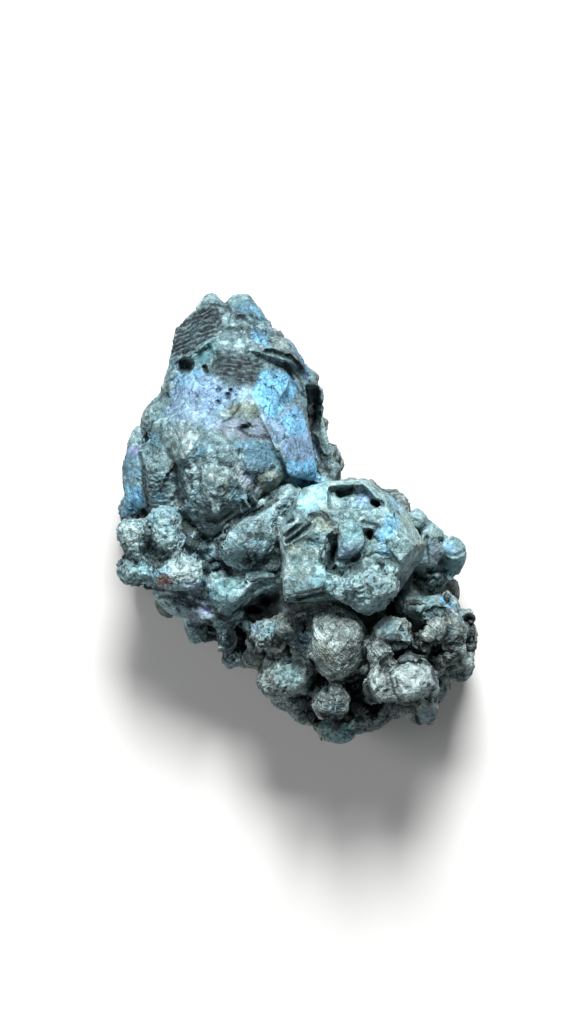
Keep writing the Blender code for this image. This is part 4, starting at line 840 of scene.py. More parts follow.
carvedLines = {  # width and depth in mm, and the paths so wide and deep as seen from the front in mm
    (0.95, 3): [[(5.8, -17.1), (6.47, -17.93), (7.63, -18.52)]],
    (0.6, 2): [[(-6.37, -10.77), (-5.37, -11.6), (-4.53, -12.6)]],
    (0.55, 2.6): [[(1.67, 12.73), (1.93, 11.07), (1.72, 9.07)]],
    (0.55, 1.8): [[(11.87, -5.53), (12.87, -6.39)]],
    (0.55, 1.7): [[(-11.28, 15.57), (-10.7, 15.37)], [(0.88, -10.43), (1.13, -11.02)]],
    (0.5, 2): [[(11.97, -11.18), (12.13, -12.43), (13.97, -12.8), (14.72, -12.1)]],
    (0.5, 1.6): [[(9.3, -8.27), (9.55, -9.43)]],
    (0.45, 2.2): [[(-8.95, -5.35), (-8.78, -6.02)]],
    (0.45, 2): [[(-3.2, -8.35), (-2.2, -7.93)]],
    (0.45, 1.8): [[(9.8, -8.17), (9.23, -9.17)]],
    (0.45, 1.6): [[(3.8, -16.47), (4.97, -16.68)]],
    (0.45, 1.4): [[(10.13, -13.27), (11.13, -13.18), (12.63, -13.43)]],
    (0.45, 1.2): [[(13.66, -6.1), (14.3, -6.39)]],
    (0.45, 1): [[(5.8, -15.43), (6.47, -15.6)]],
    (0.42, 2.2): [[(3.01, -4.96), (3.66, -4.96)]],
    (0.42, 1.2): [[(7.8, 1.73), (8.59, 1.59)]],
    (0.4, 2): [[(-4.7, -9.18), (-3.53, -9.13)]],
    (0.4, 0.96): [[(-12.03, 15.4), (-11.37, 15.57)]],
    (0.36, 1.3): [[(7.05, -10.85), (6.55, -12.6), (6.85, -14.35), (5.93, -15.6)]],
    (0.35, 1.44): [[(1.55, 8.57), (2.05, 6.73), (2.97, 4.9)]],
    (0.35, 1): [[(-1.45, -12.35), (-0.87, -12.18)]],
    (0.35, 0.8): [[(-12.95, 6.73), (-12.28, 5.4), (-11.95, 3.4), (-11.83, 1.73)]],
    (0.34, 1.2): [[(-3.03, 16.77), (-1.87, 16.53), (-0.53, 16.07), (0.47, 15.07)],
        [(7.3, -11.9), (9.3, -12.4), (11.43, -12.8)],
        [(9, -14.65), (11.3, -13.97), (13.55, -14.55), (13.93, -16.47)],
        [(1.3, -18.1), (1.67, -16.85), (3.3, -16.35), (5.05, -16.85), (5.6, -18.1), (5.05, -19.4), (3.43, -20.15)]],
    (0.34, 1.12): [[(2.13, -19.77), (3.63, -19.77), (4.97, -19.93)]],
    (0.34, 1.1): [[(7.09, -1.46), (7.37, -1.89)]],
    (0.34, 0.96): [[(-14.95, -0.43), (-14.7, -1.93), (-14.83, -3.27)], [(-4.53, 0.4), (-3.62, 0.9), (-2.03, 1.9)],
        [(1.3, -17.27), (1.97, -15.93), (2.97, -16.27)]],
    (0.32, 1.44): [[(-9.17, 15.15), (-9, 14.65)]],
    (0.32, 1.3): [[(-14.62, -3.85), (-13.87, -4.22), (-12.53, -3.72), (-11.37, -3.02)]],
    (0.32, 1.28): [[(-15.12, 0.98), (-14.9, 0.73)]],
    (0.32, 1.2): [[(2.3, -16.15), (4.3, -16.3), (5.93, -15.6)]],
    (0.3, 1.44): [[(-5.37, 9.13), (-4.9, 9.23)], [(-15.87, -6.63), (-14.7, -7.1)]],
    (0.3, 1.28): [[(-0.7, -17.93), (0.3, -18.1), (1.63, -17.27)], [(-3.7, -14.93), (-3.2, -12.93), (-1.7, -12.77)]],
    (0.3, 1.2): [[(3.8, -2.81), (3.59, -4.24)], [(-1.13, -8.17), (0.87, -7.79), (2.73, -7.41)]],
    (0.3, 1.1): [[(10, -13.1), (9.6, -14.35), (8.8, -15.3)]],
    (0.3, 1): [[(-10.23, -8.1), (-10.1, -8.85)], [(-7.85, -2.58), (-6.7, -0.82), (-4.62, 0.65), (-1.9, 1.9)],
        [(-9.4, -8.1), (-7.95, -9.77), (-6.7, -10.38), (-4.83, -9.77)],
        [(-11.18, -1.23), (-10.45, -1.95), (-9.4, -2.27), (-7.85, -2.17)],
        [(-14.72, 0.65), (-15.23, 0.97), (-16.9, 0.03)], [(-8.57, -10.38), (-8.78, -11.85), (-8.15, -13.1)],
        [(-10.87, -10.6), (-9.62, -10.82), (-8.57, -10.38)], [(-3.2, -12.65), (-0.7, -12.1), (0.93, -12.35)],
        [(13.55, -13.35), (14.3, -13.1), (15.3, -13.35)],
        [(6.93, -16.35), (7.3, -17.6), (8.05, -18.4), (10.3, -18.55), (12.3, -18.23)]],
    (0.3, 0.96): [[(-1.28, 15.57), (-0.78, 14.73), (-0.37, 14.07)], [(-8.03, -2.43), (-7.9, -4.1), (-8.2, -4.6)],
        [(-11.03, -0.43), (-9.7, -1.68), (-8.37, -2.1), (-7.62, -1.47), (-6.03, 0.03)],
        [(-8.03, -9.43), (-6.7, -9.93), (-5.37, -8.77)]],
    (0.3, 0.9): [[(1.39, 0.23), (2.41, 0.49), (2.94, -0.11)], [(-1.03, -2.36), (0.19, -1.5), (1.39, -0.63)]],
    (0.3, 0.8): [[(-15.7, 6.57), (-15.4, 5.07), (-15.28, 3.23), (-14.9, 1.23)], [(-17.37, -3.77), (-16.7, -3.52)],
        [(-13.7, -7.77), (-11.37, -7.9), (-8.7, -9.18)], [(7.22, -11.43), (8.47, -12.1), (9.97, -12.6)],
        [(14.88, -9.77), (15.05, -11.43), (14.55, -12.1)], [(-8.97, -0.13), (-7.72, -0.2), (-6.57, 0.67)]],
    (0.3, 0.72): [[(-4.62, 2.07), (-3.87, 4.4), (-2.37, 5.15)]],
    (0.28, 1): [[(-7.95, -4.97), (-5.87, -5.33), (-3.57, -5.02), (-1.9, -5.18)]],
    (0.28, 0.9): [[(-7.85, -2.58), (-7.95, -4.35), (-6.7, -5.02)], [(17.1, -10.1), (17.35, -11.85), (17.1, -13.35)],
        [(11.3, -18.1), (11.8, -19.1), (12.3, -20.6)]],
    (0.27, 1.28): [[(-1.98, -0.93), (-1.87, -2.6), (-1.53, -4.27)]],
    (0.27, 0.8): [[(13.47, -14.6), (13.8, -16.6), (13.3, -18.1)]],
    (0.27, 0.64): [[(2.63, -16.1), (4.3, -16.35), (5.63, -15.93)]],
    (0.27, 0.56): [[(-1.87, 6.73), (-1.37, 5.4), (-0.95, 4.15)]],
    (0.27, 0.48): [[(-10.03, 6.9), (-10.37, 6.53)]],
    (0.26, 0.9): [[(-9.2, -6.43), (-9.72, -7.47), (-9.4, -8.1)],
        [(-14.2, -6.95), (-12.33, -7.32), (-10.23, -7.73), (-9.2, -8.13)],
        [(12.3, -11.85), (12.85, -12.75), (14.8, -12.4)], [(14.93, -12.6), (17.05, -12.25)]],
    (0.26, 0.8): [[(0.05, -11.85), (0.8, -13.85), (2.17, -15.85)], [(-1.2, -1.67), (-0.17, -0.99), (0.87, -0.29)]],
    (0.24, 1.28): [[(-6.93, 12.48), (-6.83, 12.07)], [(-7.88, 11.77), (-7.83, 11.7)]],
    (0.24, 0.8): [[(2.73, -2.89), (2.44, -3.67), (2.59, -4.39)],
        [(-16.07, -4.13), (-17.33, -3.73), (-17.12, -3.1)]],
    (0.24, 0.6): [[(9.3, -15.35), (9.6, -16.85), (10.3, -18.23)]],
    (0.24, 0.56): [[(-7.03, 19.03), (-5.37, 18.93), (-4.2, 19.03)]],
    (0.23, 1.12): [[(-7.95, 12.93), (-7.93, 12.87)]],
    (0.22, 1.12): [[(-6.62, 12.92), (-6.6, 12.85)]],
    (0.22, 0.64): [[(-0.56, -1.24), (0.37, -0.74)], [(6.55, -12.77), (6.67, -14.1), (5.97, -15.27)]],
    (0.22, 0.56): [[(-5.03, -3.52), (-4.53, -4.1), (-4.87, -4.93)], [(-4.2, -3.43), (-4.03, -4.27), (-4.37, -4.85)],
        [(-0.99, -0.46), (-0.41, -0.13)]],
    (0.22, 0.5): [[(8.97, -15.6), (8.97, -17.27)], [(-0.9, 15.13), (0.07, 14.37), (0.65, 13.4)],
        [(-0.5, 13.78), (0.27, 12.63), (1.03, 12.05)]],
    (0.22, 0.48): [[(-1.2, 4.07), (-2.03, 2.73), (-3.03, 1.73)]],
    (0.22, 0.4): [[(-15.45, 4.98), (-14.53, 4.65), (-13.37, 4.98)]],
    (0.2, 0.6): [[(8.11, -0.8), (7.41, -1.5), (8.11, -2.19)], [(8.11, -4.43), (8.63, -4.94), (8.97, -5.63)]],
    (0.2, 0.5): [[(-5.7, 20.23), (-4.87, 19.87)], [(6.51, -0.31), (7.3, -0.6), (7.94, -0.74)],
        [(-5.9, 9.13), (-4.73, 8.27), (-2.82, 8.17)], [(-8.68, 21.48), (-8, 21.37), (-6.85, 21.1)],
        [(-5.9, 19.27), (-4.93, 18.78), (-4.73, 18.2)], [(1.39, -2.19), (2.6, -2.53), (3.8, -2.01)]],
    (0.19, 1.12): [[(-5.73, 6.98), (-5.83, 6.48)], [(4.01, -4.07), (5.3, -4.07), (6.16, -3.67)]],
    (0.19, 0.64): [[(-9.98, 12.4), (-9.92, 12.27)], [(-7.87, 5.43), (-7.2, 5.4), (-6.67, 5.15)]],
    (0.19, 0.56): [[(13.01, -1.81), (13.09, -3.1), (13.19, -4.39)]],
    (0.19, 0.48): [[(14.87, -3.53), (16.01, -3.67), (17.01, -2.96)]],
    (0.19, 0.35): [[(-15.2, 4.07), (-14.03, 3.65), (-12.87, 3.9)]],
    (0.19, 0.32): [[(-14.87, 3.15), (-13.7, 2.82), (-12.87, 2.98)]],
    (0.18, 0.4): [[(-6.28, 14.93), (-5.5, 15.32), (-5.9, 15.7)]],
    (0.16, 0.8): [[(-6.12, 12.45), (-6.08, 12.4)], [(-6.77, 11.07), (-6.7, 11.05)]],
    (0.16, 0.48): [[(-7.87, -4.43), (-6.03, -5.13), (-4.03, -5.03)], [(-5.2, -6.43), (-4.2, -6.27), (-3.03, -6.6)],
        [(0.16, -0.24), (0.3, -0.1)]],
    (0.16, 0.45): [[(-6.85, 21.1), (-5.9, 20.23), (-5.12, 19.85)]],
    (0.16, 0.4): [[(-15.5, 3.37), (-14.35, 3.17), (-13.2, 3.45)], [(-15.12, 2.78), (-13.97, 2.5), (-12.62, 2.88)],
        [(-15.7, 4.9), (-14.55, 4.8), (-13.4, 4.23)], [(-5.7, 11.25), (-6.47, 10.28), (-7.43, 9.7)],
        [(0.27, 13.6), (0.68, 12.82), (0.07, 12.6)], [(9.14, -4.26), (9.83, -4.77), (9.49, -5.63)],
        [(6.73, -3.57), (7.41, -4), (8.46, -3.91)], [(-1.2, -7.7), (0.87, -7.36), (2.77, -6.93)]],
    (0.16, 0.35): [[(-7.43, 17.05), (-6.85, 16.67), (-6.08, 16.77)], [(-4.93, 16.1), (-4.17, 15.32), (-3.2, 15.7)]],
    (0.16, 0.32): [[(-5.37, 7.57), (-5.53, 6.07), (-4.87, 4.73)], [(-12.87, 9.57), (-12.03, 8.9), (-11.2, 6.07)],
        [(-9.7, 8.4), (-10.37, 7.07), (-11.2, 6.07)]],
    (0.14, 0.4): [[(-2.87, 18.65), (-2.28, 18.45)], [(-1.85, 18.78), (-0.9, 18.2)]],
    (0.14, 0.35): [[(-7.05, 21.67), (-6.57, 20.52), (-6.85, 19.55)]],
    (0.14, 0.3): [[(-8.2, 15.9), (-7.43, 16.18)], [(-3.97, 17.63), (-3.58, 16.87), (-3, 16.67)],
        [(-2.43, 14.55), (-1.67, 13.78), (-0.9, 13.98)], [(-3.2, 13.4), (-2.23, 13.02), (-1.67, 12.25)]],
}

films = {  # each tarnish, and its patches: strength, soft edge in mm, outline as seen from the front in mm; the dark film is in part painted shade, and the pale film in part painted highlight
    "olive": {"colour": (0.15, 0.175, 0.125, 1), "strength": 0.65, "patches": [
        (0.35, 0.4, [(-6.7, -0.93), (-2.7, 0.4), (-2.03, -2.1), (-5.37, -3.43)]),
        (0.3, 0.3, [(6.93, -11.35), (8.8, -9.73), (11.3, -9.6), (11.6, -12.35), (11.17, -12.9), (9.3, -12.6),
            (7.3, -11.6)]),
        (0.35, 0.2, [(-8.78, 1.82), (-7.43, 1.92), (-7.23, 0.48), (-8.58, 0.1)]),
        (0.45, 0.4, [(-13.78, 9.13), (-12.43, 9.32), (-11.47, 6.25), (-12.43, 6.05), (-13.58, 7.4)]),
        (0.5, 0.4, [(-7.03, 15.9), (-5.37, 16.07), (-3.7, 15.57), (-3.37, 14.57), (-4.7, 13.57), (-6.37, 13.9)]),
        (0.75, 0.25, [(-7.03, 11.73), (-4.87, 11.9), (-4.03, 10.73), (-3.7, 10.07), (-6.03, 10.23), (-7.2, 10.57)]),
        (0.8, 0.2, [(-3.87, 4.57), (-2.37, 5.07), (-1.2, 4.23), (-2.03, 2.9), (-3.7, 1.73), (-4.7, 2.07)]),
        (0.35, 0.4, [(-17.53, -0.93), (-15.37, -0.27), (-14.87, -2.1), (-15.37, -4.1), (-17.03, -4.6),
            (-17.7, -2.6)]),
        (0.6, 0.3, [(1.16, 0.33), (2.59, 0.61), (4.01, -0.53), (3.87, -1.81), (2.01, -1.81), (1.01, -0.81)]),
        (0.75, 0.25, [(10.01, 0.19), (11.01, 0.47), (12.91, -2.56), (12.01, -2.77), (10.87, -1.24)]),
        (0.9, 0.1, [(-1.13, -2.31), (1.16, -1.81), (1.47, -2.24), (-0.27, -3.27), (-1.1, -2.89)]),
        (0.35, 0.2, [(-0.41, -3.53), (1.44, -2.39), (2.59, -2.96), (2.3, -4.81), (1.3, -6.53), (-0.56, -7.67),
            (-1.13, -7.96)]),
        (0.5, 0.3, [(-5.2, -13.77), (-4.2, -13.1), (-2.7, -13.27), (-3.2, -14.93), (-4.7, -14.6)]),
        (0.7, 0.15, [(-2.53, -15.93), (-1.87, -16.43), (-1.53, -17.6), (-2.28, -17.27)]),
        (0.7, 0.2, [(2.27, -20.43), (3.63, -20.93), (3.3, -21.77), (2.47, -21.43)]),
        (0.5, 0.3, [(15.3, -13.93), (17.3, -13.77), (17.3, -15.27), (15.47, -15.68)]),
    ]},
    "teal": {"colour": (0.085, 0.23, 0.26, 1), "strength": 0.7, "patches": [
        (0.8, 0.3, [(-10.37, 16.23), (-9.37, 17.9), (-8.03, 17.9), (-7.87, 16.73), (-8.7, 15.9), (-9.37, 15.07),
            (-10.2, 15.9)]),
        (0.5, 0.4, [(-7.2, 21.57), (-6.03, 22.73), (-4.87, 22.4), (-4.2, 21.57), (-2.87, 20.23), (-3.7, 19.4),
            (-5.37, 19.73), (-6.7, 20.73)]),
        (0.55, 0.4, [(-15.37, 7.4), (-13.37, 7.9), (-13.03, 6.9), (-14.53, 5.73), (-15.53, 5.73)]),
        (0.4, 0.3, [(1.55, 14.57), (2.72, 13.4), (2.8, 11.73), (2.22, 11.73)]),
        (0.6, 0.4, [(-15.03, 0.23), (-13.7, 0.73), (-11.7, -0.77), (-11.2, -2.1), (-12.37, -2.77), (-14.7, -2.6)]),
        (0.7, 0.3, [(-16.87, -4.6), (-15.7, -4.27), (-13.87, -4.6), (-14.53, -5.6), (-16.53, -6.1)]),
        (0.5, 0.3, [(-18.28, -2.77), (-17.7, -1.43), (-17.12, -0.68), (-17.37, -2.6), (-17.62, -4.6),
            (-16.2, -6.77), (-17.53, -5.77)]),
        (0.85, 0.3, [(-6.45, -2.35), (-4.87, -2.1), (-4.87, -3.1), (-6.03, -3.4)]),
        (0.3, 0.5, [(-7.37, -1.43), (-5.37, 0.07), (-2.03, 0.4), (-2.03, -2.6), (-4.03, -3.43), (-7.03, -2.6)]),
        (0.45, 0.4, [(-9.03, -5.77), (-6.7, -4.93), (-3.7, -5.1), (-1.53, -6.43), (-1.53, -7.43), (-3.2, -7.6),
            (-4.37, -6.43), (-5.37, -7.43), (-6.03, -8.77), (-6.7, -9.43), (-8.37, -8.77), (-9.2, -7.93)]),
        (0.5, 0.3, [(4.44, 0.04), (6.44, -0.24), (7.01, -1.96), (5.87, -3.1), (4.16, -3.1), (4.01, -1.1)]),
        (0.7, 0.3, [(14.87, -3.53), (17.04, -3.1), (16.87, -4.96), (15.16, -5.53)]),
        (0.4, 0.3, [(11.73, 0.04), (13.3, -0.24), (14.87, -1.39), (13.44, -1.53)]),
        (0.5, 0.4, [(-4.03, -10.6), (-2.7, -9.6), (-1.37, -10.43), (-1.53, -12.27), (-3.7, -13.1)]),
        (0.45, 0.5, [(-3.03, -14.6), (-1.37, -12.93), (0.97, -14.1), (1.63, -16.6), (-0.7, -17.93),
            (-2.37, -16.93)]),
        (0.95, 0.25, [(2.13, -19.77), (3.63, -19.93), (5.3, -20.43), (5.63, -21.6), (4.63, -22.68), (2.97, -22.1)]),
        (0.55, 0.4, [(9.8, -7.6), (13.63, -6.93), (14.97, -8.77), (14.8, -9.93), (12.3, -10.77), (10.3, -9.27)]),
    ]},
    "slate": {"colour": (0.13, 0.16, 0.21, 1), "strength": 0.8, "patches": [
        (0.75, 0.25, [(-8.37, 9.98), (-6.03, 10.23), (-4.03, 10.07), (-2.45, 8.57), (-2.7, 7.9), (-5.03, 7.82),
            (-7.03, 8.4), (-8.37, 9.23)]),
        (0.7, 0.3, [(-13.87, -7.77), (-10.87, -7.93), (-8.37, -9.18), (-8.5, -10.18), (-10.87, -10.35),
            (-12.2, -9.43)]),
        (0.45, 0.1, [(9.87, -5.1), (11.87, -2.99), (12.97, -2.7), (12.47, -4.24), (11.01, -7.39), (9.37, -9.17),
            (9.44, -6.53)]),
        (0.6, 0.2, [(13.09, -1.81), (14.16, -1.67), (14.94, -3.1), (14.8, -4.53), (13.16, -4.39)]),
        (0.5, 0.3, [(12.3, -18.27), (14.3, -18.1), (14.13, -19.77), (13.13, -20.85)]),
    ]},
    "steel": {"colour": (0.08, 0.18, 0.25, 1), "strength": 0.75, "patches": [
        (0.9, 0.2, [(-5.37, 7.57), (-2.7, 7.73), (-2.03, 6.23), (-2.87, 5.23), (-4.87, 4.73), (-5.53, 6.07)]),
        (0.7, 0.3, [(-17.7, 6.57), (-16.53, 7.23), (-15.53, 5.73), (-15.45, 3.4), (-16.87, 3.07), (-17.62, 5.07)]),
        (0.9, 0.2, [(-11.2, -1.93), (-9.37, -2.27), (-8.03, -3.1), (-7.95, -4.43), (-9.37, -3.77), (-10.7, -2.93)]),
        (0.8, 0.15, [(-5.2, -10.27), (-4.2, -9.93), (-3.7, -10.93), (-4.12, -12.1), (-4.87, -11.43)]),
        (0.5, 0.3, [(15.8, -9.6), (16.63, -9.1), (17.47, -9.6), (16.47, -10.27)]),
    ]},
    "violet": {"colour": (0.22, 0.25, 0.47, 1), "strength": 0.7, "patches": [
        (0.6, 0.3, [(-6.2, 5.07), (-4.87, 5.23), (-3.7, 3.4), (-4.03, 2.48), (-5.37, 3.07)]),
        (0.7, 0.25, [(-16.95, 7.07), (-15.87, 7.43), (-15.53, 6.57), (-16.37, 5.98)]),
        (0.5, 0.3, [(-14.37, -6.77), (-13.03, -7.1), (-11.37, -7.1), (-10.37, -6.43), (-9.37, -6.43),
            (-9.53, -7.77), (-11.53, -7.85), (-13.7, -7.68)]),
        (1, 0.15, [(-10.07, -8.1), (-9.2, -8.43), (-8.5, -9.18), (-8.73, -9.63), (-9.7, -9.13)]),
        (0.7, 0.2, [(-11.53, -1.27), (-10.37, -1.6), (-9.62, -2.18), (-10.37, -2.43), (-11.37, -2.1)]),
        (0.6, 0.15, [(-5.03, -10.43), (-4.53, -10.27), (-4.37, -11.1), (-4.78, -11.27)]),
    ]},
    "lilac": {"colour": (0.17, 0.285, 0.435, 1), "strength": 0.8, "patches": [
        (0.5, 0.5, [(-13.4, 10.1), (-12.43, 11.43), (-9.17, 11.43), (-6.47, 10.48), (-8.78, 8.75), (-9.55, 8.55),
            (-12.43, 9.52)]),
        (0.5, 0.25, [(4.16, -1.96), (5.3, -2.24), (6.44, -2.81), (5.3, -3.96), (4.16, -3.81)]),
        (0.85, 0.25, [(-2.87, 20.23), (-1.87, 19.93), (-0.53, 18.73), (0.72, 17.15), (1.55, 14.73), (1.3, 13.57),
            (0.47, 15.07), (-0.12, 16.57), (-0.7, 18.23), (-2.03, 19.03)]),
        (0.7, 0.35, [(-12.2, 13.73), (-10.03, 15.07), (-8.37, 14.73), (-7.03, 13.73), (-4.2, 13.48), (-4.03, 12.4),
            (-6.03, 11.9), (-7.03, 10.73), (-9.37, 10.23), (-11.53, 9.73), (-13.2, 10.23), (-12.95, 12.4)]),
        (0.95, 0.15, [(-4.03, 10.9), (-2.53, 10.15), (-2.7, 9.07), (-3.7, 10.07)]),
        (0.85, 0.12, [(-2.87, 9.23), (-0.87, 11.4), (0.63, 10.73), (1.3, 8.73), (2.13, 6.23), (1.97, 4.9),
            (0.63, 4.9), (-0.78, 4.73), (-1.53, 6.57), (-2.37, 8.07)]),
        (0.45, 0.3, [(-1.03, 14.07), (0.97, 13.4), (1.05, 12.4), (-0.7, 11.15), (-0.53, 12.73)]),
        (0.55, 0.3, [(-3.7, -3.77), (-1.37, -4.27), (-1.28, -5.43), (-2.87, -5.27)]),
        (0.85, 0.2, [(6.16, 2.9), (7.3, 2.76), (7.59, 1.76), (6.44, 1.47), (5.73, 2.19)]),
        (0.95, 0.12, [(4.01, -3.24), (6.04, -3.21), (5.87, -3.99), (4.16, -4.01)]),
        (0.5, 0.25, [(8.44, 2.76), (10.16, 1.9), (10.87, 0.61), (10.16, 0.33), (9.3, 1.47)]),
        (0.4, 0.2, [(-1.99, -1.24), (-1.41, -0.24), (-0.96, -1.24), (-1.16, -2.53), (-1.84, -2.53)]),
        (0.35, 0.3, [(10.94, 0.76), (12.01, 1.04), (13.01, 0.04), (12.44, -0.81)]),
        (0.5, 0.15, [(10.97, -13.68), (11.97, -13.93), (12.22, -14.43), (11.13, -14.35)]),
    ]},
    "sky": {"colour": (0.13, 0.38, 0.6, 1), "strength": 0.85, "patches": [
        (0.6, 0.3, [(-6.03, 21.73), (-4.03, 21.57), (-2.95, 20.23), (-3.7, 19.82), (-5.03, 20.32), (-6.03, 20.9)]),
        (0.6, 0.3, [(-0.03, 17.73), (0.97, 16.57), (1.58, 14.57), (1.13, 14.07), (0.47, 15.9)]),
        (1, 0.2, [(-4.37, 18.9), (-2.87, 18.73), (-2.9, 17.73), (-3.7, 17.2), (-4.53, 17.9)]),
        (0.55, 0.4, [(-12.03, 14.57), (-10.87, 14.73), (-10.03, 15.57), (-9.2, 15.07), (-9.7, 13.9),
            (-11.37, 13.07), (-12.37, 13.4)]),
        (1, 0.15, [(-4.53, 13.07), (-2.7, 15.07), (-0.7, 14.4), (-0.12, 13.07), (-1.03, 11.73), (-2.53, 10.07),
            (-3.87, 11.07), (-4.37, 12.07)]),
        (0.75, 0.3, [(-2.03, 10.07), (-0.2, 11.07), (0.97, 9.07), (-0.03, 8.07), (-1.37, 8.73)]),
        (1, 0.25, [(-0.95, 5.23), (1.88, 5.73), (2.63, 4.07), (1.3, 3.32), (-0.53, 3.73)]),
        (0.65, 0.3, [(-17.45, 3.07), (-15.7, 3.4), (-14.95, 1.4), (-16.53, 0.32), (-17.53, 0.57)]),
        (0.55, 0.3, [(-15.7, 8.07), (-14.37, 8.73), (-13.78, 8.07), (-14.87, 7.32)]),
        (0.6, 0.2, [(-14.87, -5.52), (-13.2, -5.02), (-12.95, -5.63), (-14.28, -6.47)]),
        (0.3, 0.25, [(-0.91, 1.47), (-0.13, 2.47), (0.87, 3.33), (2.59, 3.61), (3.04, 3.33), (3.01, 1.04),
            (2.44, 0.61), (2.3, -0.1), (0.16, 0.04), (-0.99, 0.61)]),
        (0.5, 0.3, [(4.16, 1.61), (7.3, 1.47), (7.16, 0.76), (4.73, 1.16)]),
        (0.5, 0.25, [(5.16, -0.39), (6.44, -0.39), (6.59, -1.24), (5.3, -1.24)]),
        (0.6, 0.2, [(8.16, -0.81), (8.73, 0.33), (9.73, 0.47), (10.23, -0.53), (9.73, -1.96), (8.16, -2.6),
            (7.51, -1.53)]),
        (0.5, 0.25, [(8.73, 2.47), (9.87, 1.83), (10.16, 0.76), (9.3, 1.04)]),
        (0.6, 0.25, [(7.73, -2.81), (9.73, -3.03), (9.59, -3.96), (8.16, -3.67)]),
        (0.45, 0.2, [(14.3, -1.81), (15.44, -1.53), (16.73, -2.24), (17.01, -2.81), (16.01, -3.56),
            (15.01, -3.39)]),
        (0.7, 0.15, [(13.8, -7.63), (15.33, -7.43), (15.8, -8.77), (15.47, -9.47), (14.3, -8.43)]),
    ]},
    "cyan": {"colour": (0.3, 0.59, 0.67, 1), "strength": 0.75, "patches": [
        (0.35, 0.3, [(8.16, -0.81), (8.73, 0.33), (9.73, 0.47), (10.23, -0.53), (9.73, -1.96), (8.16, -2.6),
            (7.51, -1.53)]),
        (0.9, 0.35, [(0.16, 2.47), (2.8, 3.19), (2.9, 1.11), (1.01, 0.76), (-0.13, 1.47)]),
        (0.45, 0.2, [(10.16, 0.19), (10.87, 0.33), (12.16, -1.96), (11.59, -2.24)]),
        (0.9, 0.15, [(0.87, -6.03), (2.73, -5.96), (3.04, -6.53), (1.59, -6.99)]),
        (0.8, 0.15, [(2.09, -4.81), (3.01, -4.96), (3.01, -5.67), (1.73, -5.7)]),
        (0.55, 0.2, [(7.87, -5.1), (9.59, -4.53), (9.47, -5.74)]),
        (0.5, 0.3, [(11.13, -16.93), (12.8, -16.6), (12.3, -17.93), (10.3, -18.18)]),
    ]},
    "rust": {"colour": (0.2, 0.05, 0.03, 1), "strength": 0.95, "patches": [
        (1, 0.12, [(-13.78, -5.85), (-12.87, -5.63), (-12.03, -6.43), (-12.53, -6.72), (-13.53, -6.47)]),
        (0.35, 0.2, [(-15.95, -6.43), (-14.53, -6.93), (-14.7, -7.3), (-15.7, -6.93)]),
        (0.35, 0.3, [(9.97, -18.93), (11.97, -19.1), (11.97, -20.1), (10.3, -20.1)]),
    ]},
    # dark: partly painted shade, laid where gaps, the ground under overhangs and a facet turned from the light lie in
    # shade; partly lumps of darker tone
    "dark": {"colour": (0.012, 0.021, 0.026, 1), "strength": 1, "patches": [
        (0.25, 0.3, [(8.63, -10.35), (10.97, -9.43), (12.63, -9.6), (12.8, -11.43), (11.97, -12.1), (9.3, -11.27)]),
        (0.45, 0.4, [(-7.03, -0.43), (-2.87, 0.4), (-2.37, -2.6), (-6.03, -3.77)]),
        (0.45, 0.4, [(1.3, -16.3), (5.55, -16.6), (5.8, -19.93), (2.63, -20.43), (1.3, -18.93)]),
        (0.3, 0.4, [(-7.03, 21.57), (-4.37, 22.23), (-2.87, 20.73), (-3.7, 19.4), (-6.03, 19.57)]),
        (0.6, 0.4, [(-2.03, 19.03), (-0.7, 17.9), (0.72, 16.4), (1.55, 14.73), (0.47, 14.73), (-1.03, 16.07),
            (-2.7, 17.4)]),
        (0.5, 0.5, [(-7.03, 19.03), (-3.2, 19.03), (-1.03, 17.9), (-0.03, 16.4), (-2.03, 17.07), (-4.37, 17.57),
            (-7.03, 18.07)]),
        (0.55, 0.4, [(-7.2, 19.4), (-4.37, 20.07), (-2.03, 19.03), (-0.7, 17.9), (-1.2, 17.07), (-3.7, 18.4),
            (-6.7, 18.57)]),
        (0.5, 0.4, [(-7.2, 21.57), (-5.7, 22.4), (-3.7, 20.9), (-2.7, 20.07), (-4.03, 19.4), (-7.03, 19.57)]),
        (1, 0.3, [(-8.7, 21.48), (-7.7, 20.4), (-7.2, 19.23), (-8.37, 18.23), (-9.37, 17.65), (-10.7, 16.73),
            (-12.03, 16.4), (-12.45, 16.9), (-12.12, 18.73), (-11.87, 19.65), (-10.7, 20.57)]),
        (0.6, 0.2, [(-7.03, 19.4), (-5.37, 19.15), (-3.2, 19.48), (-3.2, 19.03), (-5.37, 18.65), (-7.03, 18.9)]),
        (0.6, 0.2, [(-8.87, 21.65), (-7.37, 21.4), (-6.03, 20.57), (-5.03, 20.23), (-5.2, 19.82), (-6.37, 20.23),
            (-7.87, 21.07), (-8.7, 21.23)]),
        (0.85, 0.5, [(-8.03, 16.73), (-6.2, 16.82), (-4.03, 16.23), (-3.03, 15.4), (-4.03, 13.73), (-6.03, 13.57),
            (-7.87, 14.07), (-8.7, 15.4)]),
        (0.4, 0.6, [(-12.37, 5.73), (-10.03, 5.73), (-10.37, 1.73), (-12.03, 1.4), (-13.03, 3.4)]),
        (0.3, 0.3, [(-16.37, 9.23), (-14.53, 10.4), (-14.7, 8.4), (-16.03, 7.98)]),
        (0.6, 0.2, [(1.55, 8.4), (2.3, 6.73), (3.72, 5.07), (3.47, 3.9), (2.47, 4.57), (1.88, 6.73)]),
        (0.4, 0.4, [(-12.87, 1.4), (-10.37, 1.07), (-7.37, -0.1), (-8.37, -1.93), (-10.03, -1.27), (-11.7, -0.27)]),
        (0.65, 0.2, [(-5.37, -3.43), (-3.87, -3.23), (-3.67, -4.93), (-5.37, -4.97)]),
        (0.65, 0.4, [(-10.7, -10.6), (-8.37, -10.43), (-6.37, -11.27), (-3.7, -12.1), (-4.03, -14.43),
            (-7.37, -14.77), (-9.37, -13.1)]),
